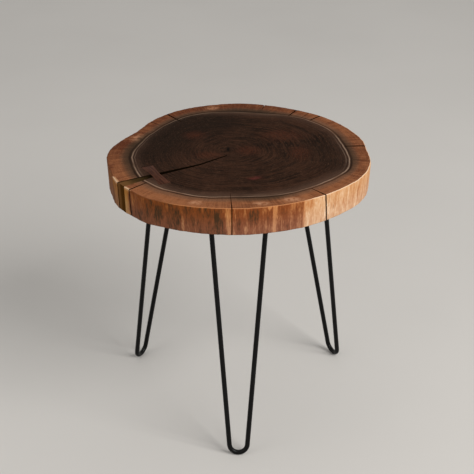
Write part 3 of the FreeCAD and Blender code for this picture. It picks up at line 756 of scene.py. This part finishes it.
class Wiring:
    """The nodes of one material; sockets are the shader's own, in small letters."""

    def __init__(self, name, **sockets):
        self.material = bpy.data.materials.new(name)
        self.material.use_nodes = True
        self.tree = self.material.node_tree
        self.shader = self.tree.nodes["Principled BSDF"]
        self.place = self.add("ShaderNodeTexCoord").outputs["Object"]
        for socket, value in sockets.items():
            self.shader.inputs[socket.replace("_", " ").title().replace("Ior", "IOR")].default_value = value

    def add(self, kind, inputs=(), **values):
        """One node, with values set and inputs linked or set."""
        node = self.tree.nodes.new(kind)
        for name, value in values.items():
            setattr(node, name, value)
        for name, value in dict(inputs).items():
            if isinstance(value, bpy.types.NodeSocket):
                self.tree.links.new(value, node.inputs[name])
            else:
                node.inputs[name].default_value = value
        return node

    def attribute(self, name):
        """A value that the mesh stores."""
        return self.add("ShaderNodeAttribute", attribute_name=name).outputs["Fac"]

    def up(self):
        """How far the surface faces up, from -1 to 1."""
        normal = self.add("ShaderNodeNewGeometry").outputs["Normal"]
        return self.add("ShaderNodeSeparateXYZ", {"Vector": normal}).outputs["Z"]

    def math(self, operation, *values):
        """One operation on numbers."""
        return self.add("ShaderNodeMath", dict(enumerate(values)), operation=operation).outputs[0]

    def times(self, one, other):
        """The product of two numbers."""
        return self.math("MULTIPLY", one, other)

    def vector(self, operation, *values):
        """One operation on vectors, which gives a vector or a number."""
        node = self.add("ShaderNodeVectorMath", dict(enumerate(values)), operation=operation)
        return node.outputs["Value" if operation in ("DOT_PRODUCT", "LENGTH") else "Vector"]

    def stretched(self, x, y, z, vector=None):
        """A vector, or else the place on the part, drawn out along each axis."""
        return self.vector("MULTIPLY", vector or self.place, (x, y, z))

    def noise(self, vector, scale, detail, roughness=0.5):
        """Even noise between 0 and 1."""
        inputs = {"Vector": vector, "Scale": scale, "Detail": detail, "Roughness": roughness}
        return self.add("ShaderNodeTexNoise", inputs).outputs["Fac"]

    def between(self, value, low, high, start=0.0, end=1.0):
        """A soft step from start to end as a value goes from low to high."""
        inputs = {"Value": value, "From Min": low, "From Max": high, "To Min": start, "To Max": end}
        return self.add("ShaderNodeMapRange", inputs, interpolation_type="SMOOTHSTEP").outputs["Result"]

    def ridge(self, value, middle, half):
        """1 at the middle, 0 from half a width away."""
        away = self.math("ABSOLUTE", self.math("SUBTRACT", value, middle))
        return self.between(away, 0.0, half, 1.0, 0.0)

    def mix(self, share, one, other, blend="MIX"):
        """Two colours, the second by its share over the first."""
        node = self.add("ShaderNodeMix", data_type="RGBA", blend_type=blend)
        for index, value in ((0, share), (6, one), (7, other)):
            if isinstance(value, bpy.types.NodeSocket):
                self.tree.links.new(value, node.inputs[index])
            else:
                node.inputs[index].default_value = (*value, 1)
        return node.outputs[2]

    def finish(self, colour, roughness=None, height=None, bump=0.0):
        """Links the shader up."""
        self.tree.links.new(colour, self.shader.inputs["Base Color"])
        if roughness is not None:
            self.tree.links.new(roughness, self.shader.inputs["Roughness"])
        if height is not None:
            node = self.add("ShaderNodeBump", {"Height": height, "Distance": bump, "Strength": 1.0})
            self.tree.links.new(node.outputs["Normal"], self.shader.inputs["Normal"])
        return self.material


def centred(wires, value, amount):
    """A value between 0 and 1 as a swing to either side."""
    return wires.times(wires.math("SUBTRACT", value, 0.5), amount)


def scaled(colour, factor):
    """A colour made lighter or darker."""
    return [factor * tone for tone in colour]


def oval(wires, place, middle, half, core=0.1):
    """1 in the core of an oval patch, 0 outside it; half holds its half sizes along x, y and z."""
    away = wires.vector("DIVIDE", wires.vector("SUBTRACT", place, middle), half)
    return wires.between(wires.vector("LENGTH", away), core, 1.35, 1.0, 0.0)


def top_ovals(wires, patches):
    """1 in the middle of any of some oval patches of the slab seen from above, 0 outside them."""
    found = None
    for (x, y), (half_x, half_y) in patches:
        half = (half_x * MM, half_y * MM, WHOLE_HEIGHT)
        one = oval(wires, wires.place, (x * MM, y * MM, 0), half)
        found = one if found is None else wires.math("MAXIMUM", found, one)
    return found


class Grain:
    """Figures of the sawn face that the colours of its heartwood and its sapwood share."""

    def __init__(self, wires, settings):
        place = wires.place
        self.wires = wires
        self.flat = wires.stretched(1, 1, 0, wires.vector("SUBTRACT", place, (*settings.pith, 0)))
        self.facing = wires.vector("NORMALIZE", self.flat)
        # Growth that strays a little, and growth that strays in broad waves as well
        jitter = centred(wires, wires.noise(place, 48, 3), 0.014)
        self.near_age = wires.math("ADD", wires.attribute("growth"), jitter)
        self.age = wires.math("ADD", self.near_age, centred(wires, wires.noise(place, 7, 2), 0.035))
        self.long_arcs = self.arcs(1.8, settings.ring_count * 1.7, 3)
        self.short_arcs = self.arcs(11, settings.ring_count * 6, 2)
        self.light_arcs = self.arcs(24, settings.ring_count * 8, 1)
        self.rays = self.arcs(46, 3, 3)
        self.fine_rays = self.arcs(150, 5, 2)
        self.clouds = wires.noise(place, 11, 3)
        self.mottle = wires.noise(place, 60, 3)
        self.pores = wires.noise(place, 750, 2)
        self.stain = wires.attribute("stain")

    def arcs(self, around, across, detail):
        """Broken arcs along the growth rings, by how fine they are round the pith and across the rings."""
        wires = self.wires
        climb = wires.add("ShaderNodeCombineXYZ", {"Z": wires.times(self.age, across)}).outputs[0]
        place = wires.vector("ADD", wires.stretched(around, around, 0, self.facing), climb)
        return wires.noise(place, 1.0, detail, 0.55)


def heartwood(wires, grain, settings):
    """Dark bands with red patches and streaks, dusky or grey beside the pale ring, black at the pith."""
    tone = wires.times(grain.long_arcs, 0.36)
    for figure, weight in (
            (grain.short_arcs, 0.26), (grain.clouds, 0.20), (grain.mottle, 0.12), (grain.fine_rays, 0.06)):
        tone = wires.math("MULTIPLY_ADD", figure, weight, tone)
    wood = wires.mix(wires.between(tone, 0.40, 0.60), settings.heart_dark, settings.heart_warm)

    dusk = wires.attribute("dusk")
    outward = wires.math("MULTIPLY_ADD", dusk, 0.14, grain.near_age)
    dusk = wires.times(wires.between(outward, 0.36, 0.70, 0.0, 0.85), dusk)
    wood = wires.mix(dusk, wood, settings.heart_dusk)

    warmth = wires.between(grain.short_arcs, 0.38, 0.66, 0.15, 0.75)
    wood = wires.mix(wires.times(top_ovals(wires, BLUSHES), warmth), wood, settings.blush)
    grown = wires.add("ShaderNodeCombineXYZ", {"Z": grain.age}).outputs[0]
    along_rings = wires.vector("ADD", grain.facing, grown)
    for bearing, growth, length, width in RED_STREAKS:
        turn = math.radians(bearing)
        streak = oval(wires, along_rings, (math.cos(turn), math.sin(turn), growth), (length, length, width))
        streak = wires.times(streak, wires.between(grain.mottle, 0.35, 0.6, 0.2, 0.65))
        wood = wires.mix(streak, wood, settings.red_streak)

    outer = wires.times(wires.attribute("grey"), wires.between(grain.near_age, 0.69, 0.79))
    outer = wires.times(outer, wires.between(grain.clouds, 0.35, 0.65, 0.6, 1.0))
    wood = wires.mix(outer, wood, settings.heart_grey)
    wood = wires.mix(wires.between(grain.light_arcs, 0.58, 0.74, 0.0, 0.42), wood, settings.heart_tan)
    core = wires.vector("LENGTH", wires.stretched(1, 0.28, 0, grain.flat))
    return wires.mix(wires.between(core, *PITH_CORE, 0.95, 0.0), wood, PITH_BLACK)


def sapwood(wires, grain, settings):
    """Red-brown to tan wood with blond flecks, into which the stain of the heartwood has run."""
    light = wires.attribute("light")
    for figure, amount in (
            (grain.rays, 1.4), (grain.fine_rays, 0.7), (grain.short_arcs, 0.9), (grain.long_arcs, 0.8),
            (grain.mottle, 1.2)):
        light = wires.math("ADD", light, centred(wires, figure, amount))
    wood = wires.mix(wires.between(light, -0.25, 1.25), settings.sap_deep, settings.sap_light)
    depth = wires.between(grain.near_age, settings.heart_share, 1.0)
    wood = wires.mix(wires.between(depth, 0.10, 0.62, 0.70, 0.0), wood, settings.sap_grey)
    grit = wires.noise(wires.place, 420, 2)
    wood = wires.mix(wires.between(grit, 0.58, 0.72, 0.0, 0.28), wood, settings.fleck)
    broken = wires.between(wires.noise(wires.place, 130, 2), 0.40, 0.56, 0.1, 0.85)
    wood = wires.mix(wires.times(top_ovals(wires, FLECKS), broken), wood, settings.fleck)

    run = wires.math("ADD", depth, centred(wires, grain.rays, 0.35))
    spread = wires.math("SUBTRACT", wires.times(grain.stain, 0.62), run)
    spread = wires.times(wires.between(spread, -0.20, 0.45), wires.math("POWER", grain.stain, 0.7))
    wood = wires.mix(spread, wood, settings.stain)
    shadow = wires.ridge(grain.near_age, settings.heart_share + 0.020, 0.019)
    shadow = wires.times(shadow, wires.between(grain.clouds, 0.3, 0.6, 0.95, 0.65))
    return wires.mix(shadow, wood, settings.ring_shadow)


def ring_line(wires, grain, settings):
    """How strongly the pale ring shows, with a faint second line inside it where the stain is strong."""
    line = wires.ridge(grain.near_age, settings.heart_share + 0.001, 0.0088)
    second = wires.ridge(grain.near_age, settings.heart_share - 0.022, 0.007)
    second = wires.times(second, wires.between(grain.stain, 0.4, 0.9, 0.06, 0.42))
    line = wires.math("MAXIMUM", line, second)
    line = wires.times(line, wires.between(wires.noise(wires.place, 26, 3), 0.3, 0.6, 0.35, 1.0))
    return wires.times(line, wires.attribute("glow"))


def end_grain(settings):
    """Sawn face of the slab: dark ringed heartwood, a pale ring and red-brown sapwood."""
    wires = Wiring("walnut_end_grain", specular_ior_level=0.01)
    grain = Grain(wires, settings)
    heart = settings.heart_share
    inside = heartwood(wires, grain, settings)
    outside = sapwood(wires, grain, settings)
    wood = wires.mix(wires.between(grain.near_age, heart - 0.002, heart + 0.002), inside, outside)
    wood = wires.mix(ring_line(wires, grain, settings), wood, settings.pale_ring)
    wood = wires.mix(wires.between(grain.pores, 0.60, 0.72, 0.0, 0.3), wood, settings.heart_dark)
    chipped = wires.times(wires.attribute("chip"), wires.between(grain.near_age, 0.976, 0.988))
    wood = wires.mix(chipped, wood, settings.bark_pale)
    sheen = wires.math("MULTIPLY_ADD", grain.short_arcs, 0.5, wires.times(grain.pores, 0.5))
    height = wires.math("MULTIPLY_ADD", grain.short_arcs, 0.5, wires.times(grain.pores, -0.5))
    return wires.finish(wood, wires.between(sheen, 0.3, 0.7, 0.48, 0.62), height, 0.08 * MM)


def bark_tone(wires, outline, streaks, fibres):
    """How pale the bark face is: its broad tone, its figures and its grain."""
    stray = wires.add("ShaderNodeTexNoise", {"Vector": wires.stretched(1, 1, 0.25), "Scale": 150.0})
    stray = wires.vector("SUBTRACT", stray.outputs["Color"], (0.5, 0.5, 0.5))
    strayed = wires.vector("ADD", wires.place, wires.stretched(*STRAY, stray))
    tone = wires.attribute("pale")
    for bearing, share, wide, tall, change in BARK_FIGURES:
        half = (wide * MM, wide * MM, tall * MM)
        figure = oval(wires, strayed, outline.bark_point(bearing, share), half, 0.5)
        tone = wires.math("MULTIPLY_ADD", figure, change, tone)
    patches = wires.noise(wires.stretched(1, 1, 0.35), 70, 3)
    speckle = wires.noise(wires.stretched(1, 1, 0.4), 340, 2)
    for figure, amount in ((patches, 0.55), (streaks, 0.42), (fibres, 0.45), (speckle, 0.4)):
        tone = wires.math("ADD", tone, centred(wires, figure, amount))
    return tone


def bark_face(settings, outline):
    """Peeled live edge: soft upright stains and streaks from dark red-brown to cream, with a painted
    highlight and painted shade on its upper edge, painted shade on its lower edge, and painted light from
    below that dulls its foot.
    """
    wires = Wiring("walnut_bark_face", specular_ior_level=0.12)
    streaks = wires.noise(wires.stretched(1, 1, 0.06), 170, 2)
    fibres = wires.noise(wires.stretched(1, 1, 0.035), 620, 1)
    flecks = wires.noise(wires.stretched(1, 1, 0.22), 260, 3)
    tone = bark_tone(wires, outline, streaks, fibres)
    wood = settings.bark_dark
    for low, high, colour in (
            (-0.05, 0.28, settings.bark_red), (0.26, 0.66, settings.bark_tan),
            (0.62, 0.98, settings.bark_pale), (0.88, 1.24, settings.bark_cream)):
        wood = wires.mix(wires.between(tone, low, high), wood, colour)
    dashes = wires.between(wires.attribute("pale"), 0.3, 1.0, 0.1, 0.5)
    dashes = wires.times(dashes, wires.between(flecks, 0.60, 0.72))
    wood = wires.mix(dashes, wood, settings.bark_red)
    wood = wires.mix(wires.attribute("olive"), wood, settings.bark_olive, "MULTIPLY")
    # Painted light from below: the colour is less saturated towards the foot of the bark face
    height = wires.add("ShaderNodeSeparateXYZ", {"Vector": wires.place}).outputs["Z"]
    foot = outline.low + STRENGTH_INSET
    strength = wires.between(height, foot, outline.high - STRENGTH_INSET, *BARK_STRENGTH)
    wood = wires.add("ShaderNodeHueSaturation", {"Saturation": strength, "Color": wood}).outputs["Color"]
    chipped = wires.between(height, outline.high - CHIP_FOOT, outline.high - CHIP_TOP)
    wood = wires.mix(wires.times(wires.attribute("chip"), chipped), wood, settings.bark_pale)
    # Painted light on the rounded upper edge: a pale painted highlight where the light catches it, dark
    # painted shade where it faces away, over wood rubbed pale
    up = wires.up()
    edge = wires.attribute("edge")
    rubbed_and_lit = wires.mix(wires.between(edge, 0.0, 0.6), settings.bark_edge, settings.bark_tan)
    rubbed_and_lit = wires.mix(wires.between(edge, 0.5, 1.0), rubbed_and_lit, settings.bark_cream)
    wood = wires.mix(wires.between(up, 0.1, 0.6, 0.0, 0.8), wood, rubbed_and_lit)
    # Painted shade on the rounded lower edge, where it faces down
    wood = wires.mix(wires.between(up, -0.2, -0.8, 0.0, 0.6), wood, settings.bark_dark)
    relief = wires.math("MULTIPLY_ADD", fibres, 0.6, wires.times(streaks, 0.8))
    return wires.finish(wood, wires.between(fibres, 0.3, 0.7, 0.52, 0.70), relief, 0.5 * MM)


def check_wall(settings):
    """Torn wood inside a check, darkened with painted shade of the narrow crack and browner towards the bark.
    """
    wires = Wiring("check_wall", roughness=0.8, specular_ior_level=0.02)
    grain = wires.noise(wires.stretched(1, 1, 0.1), 300, 3)
    # Painted shade deep in the check, mottled over the dark heartwood
    heart = wires.mix(wires.between(grain, 0.35, 0.65), CHECK_SHADE_BLACK, settings.heart_dark)
    sap = wires.mix(wires.between(grain, 0.35, 0.65), settings.stain, settings.bark_edge)
    outer = wires.between(wires.attribute("growth"), 0.90, 1.0)
    return wires.finish(wires.mix(outer, heart, sap), height=grain, bump=0.3 * MM)


def key_grain(settings, lengthwise):
    """Long grain of the bow-tie key."""
    wires = Wiring("walnut_key_grain", specular_ior_level=0.015)
    along = wires.vector("DOT_PRODUCT", wires.place, lengthwise)
    across = wires.vector("DOT_PRODUCT", wires.place, (-lengthwise[1], lengthwise[0], 0))
    drawn = wires.times(along, 0.08)
    grain_place = wires.add("ShaderNodeCombineXYZ", {"X": drawn, "Y": across}).outputs[0]
    bands = wires.noise(grain_place, 330, 3)
    fibres = wires.noise(grain_place, 1500, 2)
    tone = wires.math("MULTIPLY_ADD", fibres, 0.35, wires.times(bands, 0.65))
    wood = wires.mix(wires.between(tone, 0.38, 0.62), settings.key_dark, settings.key_light)
    return wires.finish(wood, wires.between(fibres, 0.3, 0.7, 0.46, 0.58), tone, 0.06 * MM)


def fill_finish(wires, cloud, top, side):
    """Links up a fill that has one colour on its flat faces and another on its upright ones."""
    flat = wires.between(wires.math("ABSOLUTE", wires.up()), 0.3, 0.8)
    shine = wires.between(cloud, 0.3, 0.7, 0.34, 0.48)
    return wires.finish(wires.mix(flat, side, top), shine, cloud, 0.05 * MM)


def plain_fill(settings, name, colour):
    """Opaque fill of a thin check, dark on the top and of a colour at the bark."""
    wires = Wiring(name, specular_ior_level=0.0)
    cloud = wires.noise(wires.place, 140, 3)
    top = wires.mix(wires.between(cloud, 0.35, 0.7, 0.0, 0.2), settings.fill_dark, settings.fill_brown)
    return fill_finish(wires, cloud, top, colour)


def clear_fill(settings):
    """Fill of the wide check, clearer towards the bark: amber from above and olive from the side, with a
    painted shadow of the far lip on its top and painted shade towards the near lip on its side.
    """
    wires = Wiring("clear_fill", specular_ior_level=0.0)
    cloud = wires.noise(wires.place, 75, 3)
    out = wires.math("ADD", wires.vector("LENGTH", wires.stretched(1, 1, 0)), centred(wires, cloud, 0.02))
    across = wires.attribute("across")
    dark_end, shade_end, amber_end = FILL_CHANGES
    top = wires.mix(wires.between(out, dark_end, shade_end), settings.fill_dark, settings.fill_shade)
    top = wires.mix(wires.between(out, shade_end, amber_end), top, settings.fill_amber)
    # Painted shadow of the far lip along the top of the fill
    top = wires.mix(wires.between(across, -0.95, -0.40, 0.85, 0.0), top, settings.fill_dark)
    # Painted shade on the side of the fill, growing towards the near lip
    streaks = wires.noise(wires.stretched(1, 1, 0.1), 260, 3)
    blurred = wires.math("ADD", across, centred(wires, streaks, 0.8))
    side = wires.mix(wires.between(blurred, -0.7, 0.1), settings.fill_olive, settings.fill_side_shade)
    return fill_finish(wires, cloud, top, side)


def powder_coat(settings):
    """Satin black powder coat with its fine orange peel."""
    wires = Wiring("powder_coat", specular_ior_level=0.14)
    peel = wires.noise(wires.place, 900, 2)
    dust = wires.noise(wires.place, 35, 3)
    colour = wires.mix(wires.between(dust, 0.4, 0.75, 0.0, 0.5), settings.coat, scaled(settings.coat, 1.5))
    return wires.finish(colour, wires.between(dust, 0.3, 0.7, 0.26, 0.36), peel, 0.04 * MM)


def black_oxide(settings):
    """Black oxide on the leg screws, worn a little bright."""
    wires = Wiring("black_oxide", metallic=0.6, specular_ior_level=0.4)
    wear = wires.noise(wires.place, 260, 3)
    colour = wires.mix(wires.between(wear, 0.55, 0.75, 0.0, 0.5), settings.oxide, scaled(settings.oxide, 3))
    return wires.finish(colour, wires.between(wear, 0.3, 0.7, 0.48, 0.36), wear, 0.04 * MM)


def pale_floor(settings):
    """Plain floor with a faint mottle."""
    wires = Wiring("pale_floor", roughness=0.8, specular_ior_level=0.1)
    mottle = wires.noise(wires.place, 1.2, 3)
    return wires.finish(wires.mix(
        wires.between(mottle, 0.3, 0.7), settings.floor, scaled(settings.floor, 0.96)))


def dress(piece, *materials):
    """Gives a piece its materials, in order."""
    if piece.data.materials:
        piece.data.materials.clear()
    for material in materials:
        piece.data.materials.append(material)


# The weld beads

def bead_middles(leg):
    """Where the two weld beads of a leg meet its plate."""
    corners = places(NODES[leg + "_weld_beads"])
    top = corners[corners[:, 2] > corners[:, 2].max() - LEVEL_SLACK]
    away = top[:, :2] - top[:, :2].mean(axis=0)
    apart = away @ np.linalg.svd(away, full_matrices=False)[2][0]
    rings = (top[apart < 0], top[apart > 0])
    return [(ring.min(axis=0) + ring.max(axis=0)) / 2 for ring in rings]


def weld_bead(name, middle, settings):
    """A rippled ring of weld in the corner between a rod and its plate."""
    bead = add_primitive(
        bpy.ops.mesh.primitive_torus_add, name, major_radius=settings.bead_ring,
        minor_radius=settings.bead_round, major_segments=RIPPLE_FACES * settings.ripples,
        minor_segments=SECTION_FACES)
    spot = places(bead)
    turn = np.arctan2(spot[:, 1], spot[:, 0])
    line = np.stack([np.cos(turn), np.sin(turn), np.zeros(len(turn))], axis=1) * settings.bead_ring
    swell = 1 + settings.ripple_height * np.abs(np.sin(turn * settings.ripples / 2))
    sunk = middle - np.array([0, 0, settings.bead_sink])
    move_to(bead, sunk + line + (spot - line) * swell[:, None])
    return bead


# The stage

def add_lamp(name, place, power):
    """A square soft lamp that faces the table."""
    bpy.ops.object.light_add(type="AREA", location=place)
    lamp = bpy.context.object
    lamp.name = name
    lamp.data.size = LAMP_WIDTH
    lamp.data.energy = power
    lamp.rotation_euler = (Vector(LAMP_TARGET) - Vector(place)).to_track_quat("-Z", "Y").to_euler()


def soft_room(settings):
    """A world of even white light that looks, in itself and in what mirrors it, like the floor."""
    world = bpy.data.worlds.new("soft_room")
    world.use_nodes = True
    nodes = world.node_tree.nodes
    links = world.node_tree.links
    even = nodes["Background"]
    even.inputs["Color"].default_value = (1, 1, 1, 1)
    even.inputs["Strength"].default_value = settings.ambient
    seen = nodes.new("ShaderNodeBackground")
    seen.inputs["Color"].default_value = (*settings.floor, 1)
    path = nodes.new("ShaderNodeLightPath")
    shown = path.outputs["Is Camera Ray"]
    for ray in ("Is Glossy Ray", "Is Transmission Ray"):
        either = nodes.new("ShaderNodeMath")
        either.operation = "MAXIMUM"
        links.new(shown, either.inputs[0])
        links.new(path.outputs[ray], either.inputs[1])
        shown = either.outputs[0]
    both = nodes.new("ShaderNodeMixShader")
    links.new(shown, both.inputs["Fac"])
    links.new(even.outputs[0], both.inputs[1])
    links.new(seen.outputs[0], both.inputs[2])
    links.new(both.outputs[0], nodes["World Output"].inputs["Surface"])
    return world


# Operators

class TABLE_OT_make_slab(bpy.types.Operator):
    """Model the slab with its live edge, checks and mortise"""
    bl_idname = "table.make_slab"
    bl_label = "Slab"

    def execute(self, context):
        settings = context.scene.slab_settings
        outline = Outline(settings)
        slab = slab_blank(outline)
        wall = check_wall(settings)
        dress(slab, end_grain(settings), bark_face(settings, outline), wall)
        checks = joined(check_cutters(outline, context.scene.check_settings))
        _, top, floor = key_plan()
        mortise = bow_tie("mortise_cutter", settings.glue_line, top + CUT_CLEAR, floor)
        for cutter in (checks, mortise):
            dress(cutter, wall)
            cut(slab, cutter, material_mode="TRANSFER")
        add_look(outline, slab)
        smooth(slab, degrees=32)
        hand_in(slab, "slab")
        return {"FINISHED"}


class TABLE_OT_make_key(bpy.types.Operator):
    """Model the bow-tie key that bridges the widest check"""
    bl_idname = "table.make_key"
    bl_label = "Bow-tie key"

    def execute(self, context):
        settings = context.scene.slab_settings
        plan, top, floor = key_plan()
        key = bow_tie("bow_tie_key_block", 0, top, floor)
        apply_modifier(key, "BEVEL", width=settings.key_ease, segments=2, limit_method="ANGLE")
        smooth(key, degrees=40)
        dress(key, key_grain(settings, key_heading(plan)))
        hand_in(key, "bow_tie_key")
        return {"FINISHED"}


class TABLE_OT_make_fills(bpy.types.Operator):
    """Model the fill of each drying check"""
    bl_idname = "table.make_fills"
    bl_label = "Check fills"

    def execute(self, context):
        settings = context.scene.check_settings
        outline = Outline(context.scene.slab_settings)
        dark = plain_fill(settings, "dark_fill", settings.fill_dark)
        brown = plain_fill(settings, "brown_fill", settings.fill_brown)
        clear = clear_fill(settings)
        top = outline.high - settings.sink
        for index, (check, lip) in enumerate(LIPS.items()):
            node = check + "_resin"
            stations = check_stations(node)
            setback = settings.mouth_setback if check == "main_check" else settings.rim_setback
            sides = check_sides(stations, lip * MM, settings, index, outline.top.max())
            slope = check_slope(node, outline)
            fill = strip_prism(check + "_fill", sides, top, outline.low, slope, outline.low)
            trim_to_rim(fill, outline, sum(stations[-1]), setback)
            if check == "main_check":
                _, key_top, key_floor = key_plan()
                glue_line = outline.settings.glue_line
                cut(fill, bow_tie("key_cutter", glue_line, key_top + CUT_CLEAR, key_floor))
                mark_across(fill, sides)
                dress(fill, clear)
            else:
                dress(fill, brown if check in BROWN_CHECKS else dark)
            hand_in(fill, node)
        return {"FINISHED"}


class TABLE_OT_make_welds(bpy.types.Operator):
    """Model the rippled weld beads round the heads of the rods"""
    bl_idname = "table.make_welds"
    bl_label = "Weld beads"

    def execute(self, context):
        settings = context.scene.leg_settings
        coat = powder_coat(settings)
        for leg in LEGS:
            beads = [weld_bead(leg + "_welds", middle, settings) for middle in bead_middles(leg)]
            welds = joined(beads)
            smooth(welds, degrees=60)
            dress(welds, coat)
            hand_in(welds, leg + "_weld_beads")
        return {"FINISHED"}


class TABLE_OT_finish_legs(bpy.types.Operator):
    """Coat the hairpin legs and their plates, and finish their screws"""
    bl_idname = "table.finish_legs"
    bl_label = "Legs"

    def execute(self, context):
        settings = context.scene.leg_settings
        coat = powder_coat(settings)
        oxide = black_oxide(settings)
        for leg in LEGS:
            for part in ("hairpin_rod", "leg_plate"):
                dress(NODES["%s_%s" % (leg, part)], coat)
            dress(NODES[leg + "_leg_screws"], oxide)
        return {"FINISHED"}


class TABLE_OT_set_stage(bpy.types.Operator):
    """Set the floor, the lamps and the camera"""
    bl_idname = "table.set_stage"
    bl_label = "Stage"

    def execute(self, context):
        settings = context.scene.stage_settings
        floor = add_primitive(bpy.ops.mesh.primitive_plane_add, "floor", size=FLOOR_WIDTH)
        dress(floor, pale_floor(settings))
        add_lamp("key_lamp", KEY_LAMP_PLACE, settings.key_power)
        add_lamp("fill_lamp", FILL_LAMP_PLACE, settings.fill_power)
        context.scene.world = soft_room(settings)
        pitch = math.pi / 2 - settings.camera_pitch
        bpy.ops.object.camera_add(location=settings.camera_place, rotation=(pitch, 0, 0))
        camera = context.object
        camera.name = "camera"
        camera.data.sensor_width = SENSOR_WIDTH
        camera.data.lens = settings.lens
        context.scene.camera = camera
        context.scene.view_settings.view_transform = "Standard"
        return {"FINISHED"}


OPERATORS = (
    TABLE_OT_make_slab, TABLE_OT_make_key, TABLE_OT_make_fills, TABLE_OT_make_welds, TABLE_OT_finish_legs,
    TABLE_OT_set_stage,
)
SETTINGS = {
    "slab_settings": SlabSettings,
    "check_settings": CheckSettings,
    "leg_settings": LegSettings,
    "stage_settings": StageSettings,
}


class TABLE_PT_panel(bpy.types.Panel):
    """The steps that dress the table, in order"""
    bl_idname = "TABLE_PT_panel"
    bl_label = "Live Edge Table"
    bl_space_type = "VIEW_3D"
    bl_region_type = "UI"
    bl_category = "Live Edge Table"

    def draw(self, context):
        for operator in OPERATORS:
            self.layout.operator(operator.bl_idname)


def register():
    """Makes the settings, operators and panel known to Blender."""
    for name, group in SETTINGS.items():
        bpy.utils.register_class(group)
        setattr(bpy.types.Scene, name, PointerProperty(type=group))
    for operator in OPERATORS:
        bpy.utils.register_class(operator)
    bpy.utils.register_class(TABLE_PT_panel)


def unregister():
    """Takes them out again."""
    bpy.utils.unregister_class(TABLE_PT_panel)
    for operator in reversed(OPERATORS):
        bpy.utils.unregister_class(operator)
    for name, group in SETTINGS.items():
        delattr(bpy.types.Scene, name)
        bpy.utils.unregister_class(group)


def main():
    """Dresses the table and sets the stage."""
    register()
    bpy.ops.table.make_slab()
    bpy.ops.table.make_key()
    bpy.ops.table.make_fills()
    bpy.ops.table.make_welds()
    bpy.ops.table.finish_legs()
    bpy.ops.table.set_stage()


if __name__ == "__main__":
    main()
